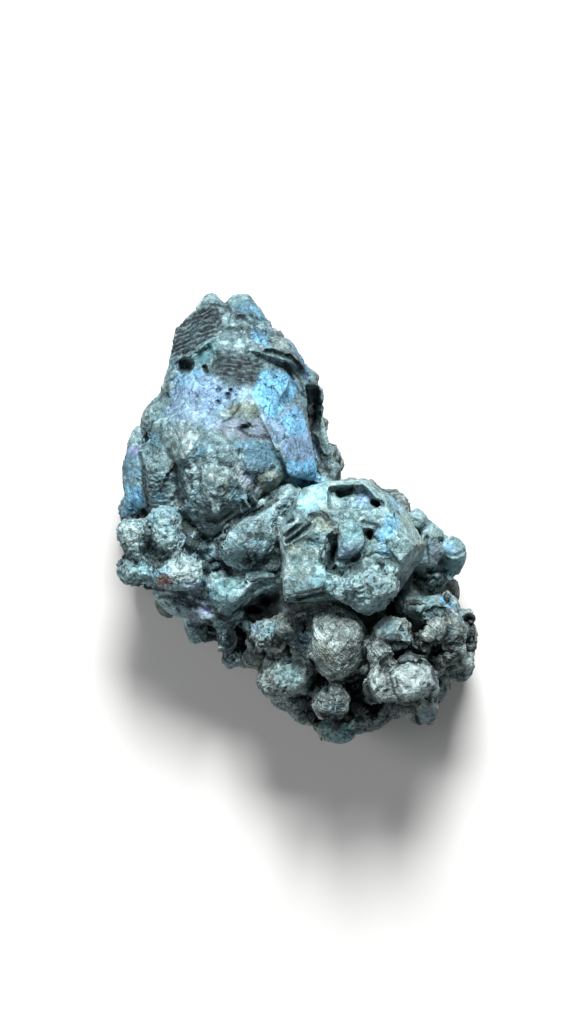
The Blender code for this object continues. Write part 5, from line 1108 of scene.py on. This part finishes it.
        (0.55, 0.3, [(2.3, 0.47), (3.44, 0.19), (4.01, -1.53), (2.73, -1.24)]),
        (0.75, 0.25, [(-0.37, -18.27), (0.97, -18.1), (1.8, -19.27), (1.47, -20.6), (0.13, -20.1)]),
        (0.55, 0.4, [(5.13, -18.93), (6.97, -18.1), (10.63, -19.1), (10.3, -20.77), (6.97, -21.77), (5.3, -21.6)]),
    ]},
    # pale: partly painted highlight, thin strips along the lit rims and edges of the peak and big crystal; partly
    # pale mineral on the needles and the pale lumps
    "pale": {"colour": (0.38, 0.48, 0.48, 1), "strength": 0.75, "patches": [
        (0.4, 0.2, [(4.01, -3.1), (6.04, -3.04), (5.87, -3.99), (4.16, -4.01)]),
        (0.3, 0.3, [(-11.67, 6.05), (-8.97, 6.63), (-6.08, 5.1), (-6.28, 0.87), (-8.97, 0.48), (-11.47, 0.87)]),
        (0.45, 0.3, [(-18, -0.68), (-17.05, 0.1), (-15.32, -0.1), (-14.93, -2.6), (-16.47, -3.57), (-18, -2.98)]),
        (0.3, 0.3, [(-15.12, -0.1), (-13.58, 0.87), (-11.85, -0.68), (-11.67, -2.98), (-13.78, -3.75),
            (-14.93, -2.6)]),
        (0.35, 0.15, [(-12.43, 9.42), (-9.55, 8.75), (-10.5, 7.4), (-11.37, 6.15)]),
        (0.9, 0.06, [(-6.5, 5.77), (-6.18, 5.82), (-3.73, 2.82), (-4, 2.6)]),
        (0.9, 0.06, [(-5.97, 4.7), (-5.67, 4.82), (-4, 2.55), (-4.32, 2.48)]),
        (0.9, 0.06, [(-6.73, 5.1), (-6.43, 5.17), (-4.85, 2.98), (-5.08, 2.82)]),
        (0.3, 0.2, [(5.73, 0.19), (4.44, -0.39), (4.1, -1.67), (5.3, -1.89), (7.16, -1.96), (6.59, -0.39)]),
        (0.5, 0.2, [(-9.37, 22.4), (-8.7, 22.7), (-7.87, 22.4), (-9.37, 21.4), (-10.87, 20.23), (-11.78, 19.4),
            (-12.12, 17.07), (-12.4, 15.4), (-12.78, 15.57), (-12.62, 17.07), (-12.28, 18.9), (-11.87, 19.73)]),
        (0.4, 0.15, [(-12.7, 15.57), (-13.2, 14.07), (-14.2, 11.9), (-15.53, 10.73), (-16.37, 9.07), (-16.2, 8.57),
            (-15.2, 10.4), (-13.95, 11.57), (-12.87, 13.73), (-12.4, 15.4)]),
        (0.6, 0.25, [(-2.37, 18.23), (-0.7, 17.9), (-0.53, 16.9), (-1.87, 17.07)]),
        (0.15, 0.25, [(-7.03, 17.82), (-5.7, 17.73), (-5.37, 16.98), (-6.53, 16.82)]),
        (0.45, 0.5, [(-11.7, 11.9), (-9.03, 11.4), (-9.37, 10.07), (-12.03, 9.9)]),
        (0.5, 0.15, [(-12.7, 9.07), (-9.87, 8.65), (-9.7, 8.23), (-11.2, 6.07), (-12.28, 8.32)]),
        (0.35, 0.2, [(-13.03, 9.73), (-11.37, 10.23), (-9.37, 9.73), (-9.62, 8.9), (-12.03, 9.07)]),
        (0.35, 0.4, [(-15.03, 0.23), (-13.87, 0.73), (-12.37, -0.27), (-11.37, -1.43), (-11.7, -2.6),
            (-13.7, -3.43), (-14.7, -2.93)]),
        (0.5, 0.35, [(-13.2, -4.27), (-10.87, -3.6), (-9.37, -4.1), (-9.45, -5.77), (-11.37, -6.93),
            (-12.37, -6.43), (-13.03, -5.43)]),
        (0.8, 0.1, [(-14.2, -6.1), (-13.37, -5.68), (-12.87, -5.63), (-12.95, -5.93), (-13.7, -6.27)]),
        (0.6, 0.12, [(2.87, 3.59), (4.16, 4.07), (6.8, 4.07), (7.37, 3.76), (8.44, 2.04), (7.87, 2.19),
            (7.16, 3.33), (6.59, 3.59), (4.16, 3.51), (3.16, 3.01)]),
        (0.65, 0.12, [(-1.99, -1.24), (-1.41, -0.24), (-0.96, -1.24), (-1.16, -3.1), (-0.56, -4.24), (-1.1, -7.39),
            (-1.39, -8.31), (-1.59, -6.53), (-1.39, -4.39), (-1.84, -2.53)]),
        (0.4, 0.3, [(5.87, -3.96), (7.59, -3.03), (8.3, -3.67), (7.16, -4.96)]),
        (0.25, 0.4, [(3.01, -5.96), (5.3, -4.53), (7.3, -3.96), (9.59, -4.24), (9.87, -5.39), (9.3, -7.96),
            (8.44, -9.53), (6.44, -9.39), (5.01, -7.96), (3.3, -7.67)]),
        (0.18, 0.5, [(1.47, -9.1), (3.97, -9.27), (5.63, -10.77), (4.63, -12.1), (2.63, -11.43), (1.47, -12.1)]),
        (1, 0.12, [(0.55, -11.68), (2.3, -11.23), (2.72, -11.73), (1.47, -12.13)]),
        (0.7, 0.12, [(-0.73, -11.77), (-0.2, -11.77), (-0.03, -12.35), (-0.53, -12.35)]),
        (0.5, 0.3, [(8.97, -15.27), (10.3, -14.1), (12.3, -14.1), (13.47, -15.27), (13.13, -17.43), (11.63, -18.43),
            (9.63, -18.27), (8.97, -16.93)]),
        (0.5, 0.2, [(6.97, -16.6), (8.63, -15.27), (9.13, -15.93), (8.97, -17.6), (7.63, -18.27)]),
        (0.35, 0.3, [(6.63, -12.43), (9.3, -12.27), (9.8, -13.77), (8.97, -15.1), (6.97, -14.6)]),
        (0.3, 0.3, [(12.47, -9.77), (14.97, -9.43), (15.13, -11.27), (13.97, -12.43), (12.47, -11.93)]),
        (0.35, 0.3, [(15.13, -9.77), (16.8, -10.1), (16.97, -11.93), (15.8, -12.77), (14.97, -11.6)]),
    ]},
}


def alongLines(mesh, effect):  # the most that any carved line does at each point
    points = readPoints(mesh)
    spots = wanderedSpots(points, lineDrifts)
    most = np.zeros(len(points))
    for (width, deep), paths in carvedLines.items():
        for path in paths:
            some = nearBox(spots, path, width)
            most[some] = np.maximum(most[some], effect(pathGap(spots[some], path) / width, deep))
    return most


def carve(mesh):  # the gaps, holes and creases that show from the front
    def sunk(gap, deep):
        return deep * np.clip(1 - gap**2, 0, 1) ** 1.5

    points = readPoints(mesh)
    points[:, 2] -= alongLines(mesh, sunk) * facesFront(mesh, 0.1, 0.4)
    writePoints(mesh, points)


def storeCreaseShade(mesh):  # how deep in a carved gap each point lies, which the shader paints as shade
    def dark(gap, deep):
        return np.clip(1.25 - 1.25 * (gap / 0.8) ** 2, 0, 1) * min(1.0, 0.4 + deep)

    storeAttribute(mesh, "creaseShade", alongLines(mesh, dark) * facesFront(mesh, 0.3, 0.5))


def ripple(points, spots):  # how far the growth steps stand out at each point
    height = np.zeros(len(points))
    for spacing, rise, across, soft, outline in ripples:
        some, share = softArea(spots, outline, soft)
        here = points[some]
        count = spots[some] @ np.array(across) / spacing + 0.9 * waver(here, 1.6, 21) + 0.35 * waver(here, 0.5, 22)
        part = count - np.floor(count)
        steps = np.where(part < 0.72, part / 0.72, (1 - part) / 0.28) - 0.5  # a slow rise and a short drop
        broken = np.clip(0.8 + 0.9 * waver(here, 0.9, 23), 0.1, 1.2)
        height[some] += rise * steps * share * broken
    return height


def roughen(mesh, lumps, strength):
    edges = readEdges(mesh)
    weights = finishWeights(readPoints(mesh), lumps)
    seams, facetGlints = [], []
    for spacing, tilt, kind, seed in facetLevels:
        points, normals = readPoints(mesh), calmNormals(mesh, edges)
        reach, seam, tone = measureFacets(points, normals, spacing, tilt, seed)
        push = reach * np.clip(weights[kind] * strength, 0, 1)
        writePoints(mesh, points + normals * push[:, None])
        seams.append(seam)
        facetGlints.append(tone)
    points, normals = readPoints(mesh), calmNormals(mesh, edges, 2)
    beadGap = findCells(points, relief["beadSpacing"], 41)[0][0] / relief["beadSpacing"]
    rounded = np.clip(1 - beadGap * 1.5, -0.6, 1) * relief["beads"] * weights["beads"]
    patchy = np.clip(0.75 + waver(points, 1.3, 43), 0, 1)
    wide = waver(points, 2.7, 5) * relief["swell"] * weights["swell"]
    grain = (waver(points, 0.33, 6) * relief["grain"] + waver(points, 0.62, 7) * relief["lumpy"]) * weights["fine"]
    hole = np.clip(0.30 - findCells(points, relief["pitSpacing"], 47)[0][0] / relief["pitSpacing"], 0, 1) / 0.30
    pitted = np.clip(waver(points, 2.1, 48) * 2.2, 0, 1) * weights["pits"] * hole * relief["pits"]
    push = strength * (rounded * patchy + wide + grain - pitted) + ripple(points, seenFromFront(points))
    writePoints(mesh, points + normals * push[:, None])
    # one random number per facet: the shaders make it painted glint, each facet a little lighter or darker as if it
    # caught the light its own way, and per-facet gloss
    storeAttribute(mesh, "facetGlint", 0.45 * facetGlints[1] + 0.55 * facetGlints[2])
    storeAttribute(mesh, "seam", np.clip(1 - seams[1] / relief["seamWidth"], 0, 1))


def dropCrumbs(obj):  # the loose crumbs that cutting and carving leave inside or beside a piece
    name = obj.name
    with editing(obj):
        bpy.ops.mesh.separate(type="LOOSE")
    bits = sorted(bpy.context.selected_objects, key=lambda bit: -len(bit.data.vertices))
    kept = [bit for bit in bits if len(bit.data.vertices) > crumbSize]
    for bit in bits[len(kept):]:
        bpy.data.objects.remove(bit)
    return joinAll(kept, name)


def growSkin(settings, parts, inside):  # one skin over all the parts, hollowed, and carved
    name, hollows = settings["name"], settings.get("hollows")
    edge = settings["skin"]
    raw = joinAll(parts, name)
    remesh(raw, edge)
    if hollows:
        cutter = joinAll(growBlocks(hollows), "hollow")
        remesh(cutter, voxels["hollow"])
        applyModifier(raw, "BOOLEAN", operation="DIFFERENCE", object=cutter, solver="EXACT")
        bpy.data.objects.remove(cutter)
    if inside:
        raw = joinAll([raw, *inside], name)
    if hollows or inside:
        remesh(raw, edge)
    applyModifier(raw, "SMOOTH", factor=0.5, iterations=max(1, round(2 * (settings["melt"] / edge) ** 2)))
    carve(raw.data)
    remesh(raw, edge)
    return dropCrumbs(raw)


# The shaders paint a highlight where the skin stands out and shade where it sinks.
def storeRelief(mesh):  # how far each point stands out of, or sinks below, the skin round it
    edges = readEdges(mesh)
    points, normals = readPoints(mesh), readNormals(mesh)
    smooth = points
    for name, steps in (("fineRelief", 4), ("broadRelief", 66)):
        for _ in range(steps):
            smooth = neighbourMean(smooth, edges)
        storeAttribute(mesh, name, dot(points - smooth, normals))


def storeLines(mesh, lumps, lines):  # which way the growth lines run on each crystal, as a count across them
    points = readPoints(mesh)
    count, strength = np.zeros(len(points)), np.zeros(len(points))
    for lump in lumps:
        if lump[0] in lines:
            across, spacing, amount = lines[lump[0]]
            near = amount * np.clip(1.4 - skinGap(points, lump) / 0.2, 0, 1)
            mine = near > strength
            count = np.where(mine, points @ np.array(across) / spacing, count)
            strength = np.where(mine, near, strength)
    storeAttribute(mesh, "lineCount", count)
    storeAttribute(mesh, "lineStrength", strength)


def storeFilms(mesh):  # how much of each tarnish film, and of the painted shade and highlight in the dark and pale films, lies at each point
    points, facing = readPoints(mesh), facesFront(mesh, 0.3, 0.6)
    spots = wanderedSpots(points, filmDrifts)
    for name, film in films.items():
        cover = np.zeros(len(points))
        for strength, soft, outline in film["patches"]:
            some, share = softArea(spots, outline, 0.3 + 1.5 * soft)
            cover[some] = np.maximum(cover[some], share * strength)
        storeAttribute(mesh, name, cover * facing)


def layBase(obj):  # the flat break that the specimen lies on
    with editing(obj):
        bpy.ops.mesh.bisect(plane_co=(0, 0, 0), plane_no=(0, 0, -1), use_fill=True, clear_outer=True)


def feed(tree, node, values):  # a value is a number or colour, or another node's socket
    for key, value in values.items():
        if isinstance(value, bpy.types.NodeSocket):
            tree.links.new(value, node.inputs[key])
        else:
            node.inputs[key].default_value = value
    return node


def addNode(tree, kind, values=None, **settings):
    node = tree.nodes.new(kind)
    for key, value in settings.items():
        setattr(node, key, value)
    return feed(tree, node, values or {})


def addGroup(tree, group, values):
    return addNode(tree, "ShaderNodeGroup", values, node_tree=group).outputs


def newGroup(name, inputs, outputs):  # an input of four numbers is a colour, and so is an output named Color
    group = bpy.data.node_groups.new(name, "ShaderNodeTree")
    kinds = {True: "NodeSocketColor", False: "NodeSocketFloat"}
    for label, value in inputs.items():
        kind = kinds[isinstance(value, tuple)]
        group.interface.new_socket(name=label, in_out="INPUT", socket_type=kind).default_value = value
    for label in outputs:
        group.interface.new_socket(name=label, in_out="OUTPUT", socket_type=kinds[label == "Color"])
    return group, group.nodes.new("NodeGroupInput").outputs, group.nodes.new("NodeGroupOutput")


def mixColour(tree, factor, first, second):
    values = {0: factor, 6: first, 7: second}
    return addNode(tree, "ShaderNodeMix", values, data_type="RGBA", clamp_factor=True).outputs[2]


def mathNode(tree, operation, *values, clamp=False):
    return addNode(tree, "ShaderNodeMath", dict(enumerate(values)), operation=operation, use_clamp=clamp).outputs[0]


def times(tree, *values, clamp=False):
    return mathNode(tree, "MULTIPLY", *values, clamp=clamp)


def plus(tree, *values, clamp=False):
    return mathNode(tree, "ADD", *values, clamp=clamp)


def rangeNode(tree, value, low, high, toLow=0.0, toHigh=1.0):
    values = dict(enumerate((value, low, high, toLow, toHigh)))
    return addNode(tree, "ShaderNodeMapRange", values, clamp=True, interpolation_type="SMOOTHSTEP").outputs[0]


def noiseNode(tree, vector, scale, detail=4.0, roughness=0.6, distortion=0.0):
    values = {"Vector": vector, "Scale": scale, "Detail": detail, "Roughness": roughness, "Distortion": distortion}
    return addNode(tree, "ShaderNodeTexNoise", values).outputs["Fac"]


def colourNoise(tree, vector, scale):
    return addNode(tree, "ShaderNodeTexNoise", {"Vector": vector, "Scale": scale}).outputs["Color"]


def attributeNode(tree, name):
    return addNode(tree, "ShaderNodeAttribute", attribute_name=name).outputs["Fac"]


def millimetrePlace(tree):  # Object coordinates in millimetres
    place = addNode(tree, "ShaderNodeTexCoord").outputs["Object"]
    return addNode(tree, "ShaderNodeVectorMath", {0: place, "Scale": 1 / millimetre}, operation="SCALE").outputs[0]


def makeSulphideGroup():  # the bare mineral: tone, gloss and fine grain, with painted glint per facet, painted light on the grain tops and painted shade in the pits
    group, start, end = newGroup(
        "bareSulphide",
        {
            "Dark": (0.03, 0.04, 0.045, 1), "Mid": (0.11, 0.14, 0.15, 1), "Light": (0.26, 0.32, 0.33, 1),
            "Sheen": (0.06, 0.21, 0.30, 1), "Earthy": (0.15, 0.145, 0.085, 1), "Dust": (0.36, 0.44, 0.45, 1),
            "Facet Glint": 0.5, "Grain per mm": 2.5, "Gloss": 0.4, "Grit": 0.5,
        },
        ("Color", "Roughness", "Height"),
    )
    vector = millimetrePlace(group)
    broad = noiseNode(group, vector, 0.35, 4.0, 0.6, 0.5)
    fine = noiseNode(group, vector, start["Grain per mm"], 5.0, 0.72)
    speck = noiseNode(group, vector, 6.5, 3.0, 0.6)
    granule = addNode(group, "ShaderNodeTexVoronoi", {"Vector": vector, "Scale": 4.6}, feature="F1")
    # grainTop lights the tops of the grains in the colour and leaves the gaps between them darker, which is painted
    # light and painted shade; it also raises the grains in the bump
    grainTop = rangeNode(group, granule.outputs["Distance"], 0.62, 0.12)
    mottle = plus(group, times(group, broad, 0.36), times(group, fine, 0.30))
    # tone is random mottle, plus painted glint per facet and painted light on the grain tops
    tone = plus(group, plus(group, mottle, times(group, start["Facet Glint"], 0.44)), times(group, grainTop, 0.14))
    colour = mixColour(group, rangeNode(group, tone, 0.34, 0.62), start["Dark"], start["Mid"])
    colour = mixColour(group, rangeNode(group, tone, 0.62, 0.84), colour, start["Light"])
    sheenSpot = rangeNode(group, noiseNode(group, vector, 0.22, 5.0, 0.7, 1.0), 0.54, 0.70)
    colour = mixColour(group, times(group, sheenSpot, 0.5), colour, start["Sheen"])
    earthSpot = rangeNode(group, colourNoise(group, vector, 0.45), 0.52, 0.66)
    colour = mixColour(group, times(group, earthSpot, 0.25), colour, start["Earthy"])
    # darkens the low spots of the grain, which also sink in the bump: painted shade in the pits
    poreShade = times(group, rangeNode(group, speck, 0.46, 0.34), 0.45)
    colour = mixColour(group, poreShade, colour, start["Dark"])
    dust = times(group, rangeNode(group, speck, 0.60, 0.72), 0.34)
    uneven = times(group, mathNode(group, "SUBTRACT", fine, start["Facet Glint"]), 0.3)
    rough = plus(group, times(group, fine, 0.75), times(group, speck, 0.35))
    height = plus(group, rough, times(group, grainTop, 0.5))
    feed(group, end, {
        "Color": mixColour(group, dust, colour, start["Dust"]),
        "Roughness": plus(group, plus(group, start["Gloss"], uneven), 0.08, clamp=True),
        "Height": times(group, height, start["Grit"]),
    })
    return group


def makeFilmGroup():  # one colour of film, used for tarnish and for the painted shade and highlight of the dark and pale films: speckled, given painted glint per facet, and broken up at its edge
    group, start, end = newGroup(
        "tarnishFilm",
        {
            "Color": (0.1, 0.12, 0.13, 1), "Film": (0.2, 0.4, 0.6, 1), "Patch": 0.0, "Facet Glint": 0.5,
            "Breakup per mm": 1.6, "Strength": 0.8,
        },
        ("Color",),
    )
    vector = millimetrePlace(group)
    noise = noiseNode(group, vector, start["Breakup per mm"], 6.0, 0.74, 0.4)
    speckle = noiseNode(group, vector, 4.2, 3.0, 0.75)
    shifted = plus(group, start["Patch"], times(group, mathNode(group, "SUBTRACT", noise, 0.5), 1.3))
    held = times(group, rangeNode(group, shifted, 0.22, 0.62), rangeNode(group, start["Patch"], 0.0, 0.3))
    thick = rangeNode(group, noiseNode(group, vector, 0.7, 4.0, 0.65), 0.34, 0.58, 0.55, 1.0)
    mask = times(group, times(group, held, thick), start["Strength"], clamp=True)
    grainLight = rangeNode(group, speckle, 0.30, 0.72, 0.76, 1.18)
    # facetLight is painted glint: each facet's film a little lighter or darker as if it caught the light its own way
    facetLight = rangeNode(group, start["Facet Glint"], 0.15, 0.85, 0.80, 1.18)
    lit = {0: start["Film"], "Scale": times(group, grainLight, facetLight)}
    film = addNode(group, "ShaderNodeVectorMath", lit, operation="SCALE").outputs[0]
    feed(group, end, {"Color": mixColour(group, mask, start["Color"], film)})
    return group


def makeLineGroup():  # fine growth lines and the cracks between facets, with painted shade in the grooves of the lines
    inputs = {"Count": 0.0, "Strength": 0.0, "Seam": 0.0, "Cracked": 0.0}
    group, start, end = newGroup("growthLines", inputs, ("Height", "Shade And Crack Mask"))
    vector = millimetrePlace(group)
    wander = noiseNode(group, vector, 0.9, 4.0, 0.65)
    turns = plus(group, start["Count"], times(group, wander, 3.4))
    wave = mathNode(group, "SINE", times(group, turns, math.tau))
    patchy = rangeNode(group, noiseNode(group, vector, 1.7, 3.0, 0.6), 0.36, 0.62)
    lines = times(group, times(group, wave, start["Strength"]), patchy)
    bend = {0: colourNoise(group, vector, 1.1), 1: (1.5, 1.5, 1.5), 2: vector}
    bent = addNode(group, "ShaderNodeVectorMath", bend, operation="MULTIPLY_ADD").outputs[0]
    crackle = addNode(group, "ShaderNodeTexVoronoi", {"Vector": bent, "Scale": 1.5}, feature="DISTANCE_TO_EDGE")
    thin = rangeNode(group, crackle.outputs["Distance"], 0.02, 0.11, 1.0, 0.0)
    broken = rangeNode(group, noiseNode(group, vector, 1.3, 5.0, 0.75), 0.47, 0.60)
    cracks = times(group, times(group, thin, broken), start["Cracked"])
    deep = mathNode(group, "MAXIMUM", cracks, times(group, start["Seam"], 0.2))
    # darkens the grooves of the growth lines, which also sink in the bump: painted shade
    shade = rangeNode(group, lines, -0.2, -0.9, 0.0, 0.6)
    feed(group, end, {
        "Height": mathNode(group, "SUBTRACT", times(group, lines, 0.5), deep),
        "Shade And Crack Mask": mathNode(group, "MAXIMUM", shade, times(group, deep, 0.8)),
    })
    return group


def makeWearAndShadeGroup():  # pale rubbed edges, partly wear and partly painted highlight, and painted shade in the crevices and carved creases, from the relief of the skin
    group, start, end = newGroup(
        "wearHighlightAndCreviceShade",
        {
            "Color": (0.1, 0.12, 0.13, 1), "Worn Highlight": (0.34, 0.44, 0.45, 1), "Crevice Shade": (0.004, 0.006, 0.007, 1),
            "Fine": 0.0, "Broad": 0.0, "Crease Shade": 0.0, "Wear And Highlight": 0.7, "Depth": 0.80,
        },
        ("Color",),
    )
    noise = noiseNode(group, millimetrePlace(group), 1.6, 4.0, 0.7)
    # the near-black colour put in what sinks below the skin round it, and in the carved creases, is painted shade
    fineLow = rangeNode(group, start["Fine"], -0.006, -0.05)
    broadLow = rangeNode(group, start["Broad"], -0.10, -0.55)
    low = mathNode(group, "MAXIMUM", times(group, fineLow, 0.7), broadLow)
    low = mathNode(group, "MAXIMUM", low, start["Crease Shade"])
    sunk = mixColour(group, times(group, low, start["Depth"]), start["Color"], start["Crevice Shade"])
    # pale colour on what stands out: partly rubbed wear, partly painted highlight
    fineHigh = rangeNode(group, start["Fine"], 0.006, 0.05)
    broadHigh = rangeNode(group, start["Broad"], 0.06, 0.40)
    high = plus(group, times(group, fineHigh, 0.6), times(group, broadHigh, 0.2))
    rubbedAndLit = times(group, high, rangeNode(group, noise, 0.32, 0.68))
    wearAndPaintedLight = times(group, rubbedAndLit, start["Wear And Highlight"], clamp=True)
    feed(group, end, {"Color": mixColour(group, wearAndPaintedLight, sunk, start["Worn Highlight"])})
    return group


looks = {  # the bare mineral of each part of the specimen; part of the difference between these tones is painted light, as the foot is made lighter to make up for the shade it lies in
    "tarnishedPeak": {
        "dark": (0.024, 0.046, 0.052, 1), "mid": (0.095, 0.161, 0.177, 1), "light": (0.24, 0.36, 0.384, 1),
        "grain": 2.4, "gloss": 0.58, "wearAndHighlight": 0.38, "grit": 0.26,
    },
    "tarnishedKnobs": {
        "dark": (0.034, 0.062, 0.07, 1), "mid": (0.157, 0.262, 0.285, 1), "light": (0.362, 0.525, 0.55, 1),
        "grain": 2.8, "gloss": 0.62, "wearAndHighlight": 0.8, "grit": 0.45,
    },
    "tarnishedCrystal": {
        "dark": (0.038, 0.07, 0.074, 1), "mid": (0.142, 0.24, 0.254, 1), "light": (0.325, 0.475, 0.494, 1),
        "grain": 2.4, "gloss": 0.56, "wearAndHighlight": 0.7, "grit": 0.24,
    },
    "tarnishedFoot": {
        "dark": (0.037, 0.051, 0.052, 1), "mid": (0.155, 0.2, 0.194, 1), "light": (0.335, 0.415, 0.405, 1),
        "grain": 3, "gloss": 0.64, "wearAndHighlight": 0.62, "grit": 0.4,
    },
    "darkHeart": {
        "dark": (0.018, 0.024, 0.026, 1), "mid": (0.07, 0.094, 0.098, 1), "light": (0.18, 0.234, 0.24, 1),
        "grain": 2.4, "gloss": 0.64, "wearAndHighlight": 0.6, "grit": 0.5,
    },
}
# the crack colour also darkens the grooves of the growth lines as painted shade
surface = {"metallic": 0.2, "specular": 0.17, "bump": 0.85, "bumpHeight": 0.00024, "crackAndShade": (0.012, 0.018, 0.022, 1)}


def makeLook(name, groups):
    look = looks[name]
    material = bpy.data.materials.new(name)
    material.use_nodes = True
    tree = material.node_tree
    # the per-facet number that gives painted glint and per-facet gloss
    facetGlint, blueFilms = attributeNode(tree, "facetGlint"), []
    bare = addGroup(tree, groups["bare"], {
        "Dark": look["dark"], "Mid": look["mid"], "Light": look["light"], "Grain per mm": look["grain"],
        "Gloss": look["gloss"], "Grit": look["grit"], "Facet Glint": facetGlint,
    })
    colour = bare["Color"]
    for label, film in films.items():
        patch = attributeNode(tree, label)
        if label in ("sky", "lilac"):
            blueFilms.append(patch)
        colour = addGroup(tree, groups["film"], {
            "Color": colour, "Film": film["colour"], "Strength": film["strength"], "Patch": patch,
            "Facet Glint": facetGlint,
        })["Color"]
    lines = addGroup(tree, groups["lines"], {
        "Count": attributeNode(tree, "lineCount"), "Strength": attributeNode(tree, "lineStrength"),
        "Seam": attributeNode(tree, "seam"), "Cracked": mathNode(tree, "MAXIMUM", *blueFilms),
    })
    wearAndPaintedLight = addGroup(tree, groups["wearAndHighlight"], {
        "Color": mixColour(tree, lines["Shade And Crack Mask"], colour, surface["crackAndShade"]), "Wear And Highlight": look["wearAndHighlight"],
        "Fine": attributeNode(tree, "fineRelief"), "Broad": attributeNode(tree, "broadRelief"),
        "Crease Shade": attributeNode(tree, "creaseShade"),
    })
    height = plus(tree, bare["Height"], lines["Height"])
    bump = {"Strength": surface["bump"], "Distance": surface["bumpHeight"], "Height": height}
    feed(tree, tree.nodes["Principled BSDF"], {
        "Base Color": wearAndPaintedLight["Color"],
        "Roughness": bare["Roughness"],
        "Metallic": surface["metallic"],
        "Specular IOR Level": surface["specular"],
        "Normal": addNode(tree, "ShaderNodeBump", bump).outputs["Normal"],
    })
    return material


def finishPiece(obj, settings, lumps, material):
    mesh = obj.data
    storeRelief(mesh)
    storeFilms(mesh)
    storeCreaseShade(mesh)
    storeLines(mesh, lumps, settings.get("lines", {}))
    shift = Matrix.Translation((-drawnMiddle[0], -drawnMiddle[1], 0.0))
    mesh.transform(Matrix.Scale(millimetre, 4) @ shift)
    mesh.materials.clear()
    mesh.materials.append(material)
    pickOnly(obj)
    bpy.ops.object.shade_smooth()
    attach(obj, "root")
    say(f"{obj.name}: {sum(len(face.vertices) - 2 for face in mesh.polygons)} triangles")


def growPiece(settings, chips, materials):
    lumps, rubble = settings.get("lumps") or sideLumps(settings), settings.get("rubble", [])
    inside = growBlocks(settings.get("terraces", {})) + growLumps(rubble, chips)
    plates = [growPlate(*plate) for plate in settings.get("plates", [])]
    prisms = [growPrism(*prism) for prism in settings.get("prisms", [])]
    parts = growBlocks(settings["blocks"]) + growLumps(lumps, chips) + plates + prisms
    piece = growSkin(settings, parts, inside)
    roughen(piece.data, lumps + rubble, settings["relief"])
    if settings is heart:
        layBase(piece)
    finishPiece(piece, settings, lumps + rubble, materials[settings["look"]])
    if settings is heart:
        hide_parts("chalcocite")


def growSpecimen():
    chips = makeChips()
    groups = {"bare": makeSulphideGroup(), "film": makeFilmGroup(), "lines": makeLineGroup(), "wearAndHighlight": makeWearAndShadeGroup()}
    materials = {name: makeLook(name, groups) for name in looks}
    say("chips and finishes ready")
    for settings in (heart, peak, boss, leftKnobs, bigCrystal, eastCrystals, footWest, footEast):
        growPiece(settings, chips, materials)
    for chip in chips:
        bpy.data.objects.remove(chip)


studio = {
    "floor": (0.46, 0.46, 0.45, 1),
    "air": (0.75, 0.8, 0.85, 1),
    "airStrength": 0.15,
    "aim": (0, 0, 0.012),
    "lights": [  # name, place and size in metres, watts
        ("topSoftbox", (0.02, 0.32, 0.36), 0.16, 6.9),
        ("leftFill", (-0.34, 0.02, 0.32), 0.2, 0.8),
        ("nearFill", (0.12, -0.26, 0.42), 0.25, 0.5),
    ],
}


def makeFloor():
    bpy.ops.mesh.primitive_plane_add(size=3.0)
    floor = bpy.context.object
    floor.name = "floor"
    material = bpy.data.materials.new("paleFloor")
    material.use_nodes = True
    tree = material.node_tree
    feed(tree, tree.nodes["Principled BSDF"], {"Base Color": studio["floor"], "Roughness": 0.9})
    floor.data.materials.append(material)


def makeStudio():
    bpy.context.scene.view_settings.view_transform = "Standard"  # keeps the tarnish as strong as it looks by eye
    world = bpy.data.worlds.new("studio")
    bpy.context.scene.world = world
    world.use_nodes = True
    tree = world.node_tree
    feed(tree, tree.nodes["Background"], {"Color": studio["air"], "Strength": studio["airStrength"]})
    for name, spot, size, power in studio["lights"]:
        light = bpy.data.lights.new(name, "AREA")
        light.size = size
        light.energy = power
        lamp = newObject(name, light)
        lamp.location = spot
        lamp.rotation_euler = (Vector(studio["aim"]) - Vector(spot)).to_track_quat("-Z", "Y").to_euler()


def makeCamera():  # straight down on the side that the photograph shows
    camera = bpy.data.cameras.new("camera")
    camera.sensor_width = view["sensor"]
    camera.lens = view["sensor"] * view["away"] / view["high"]
    stand = newObject("camera", camera)
    across, up = (middle - drawn for middle, drawn in zip(view["middle"], drawnMiddle))
    stand.location = Vector((across, up, view["level"] + view["away"])) * millimetre
    bpy.context.scene.camera = stand


growSpecimen()
makeFloor()
makeStudio()
makeCamera()
say("floor, lights and camera ready")
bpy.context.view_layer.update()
say("finished")
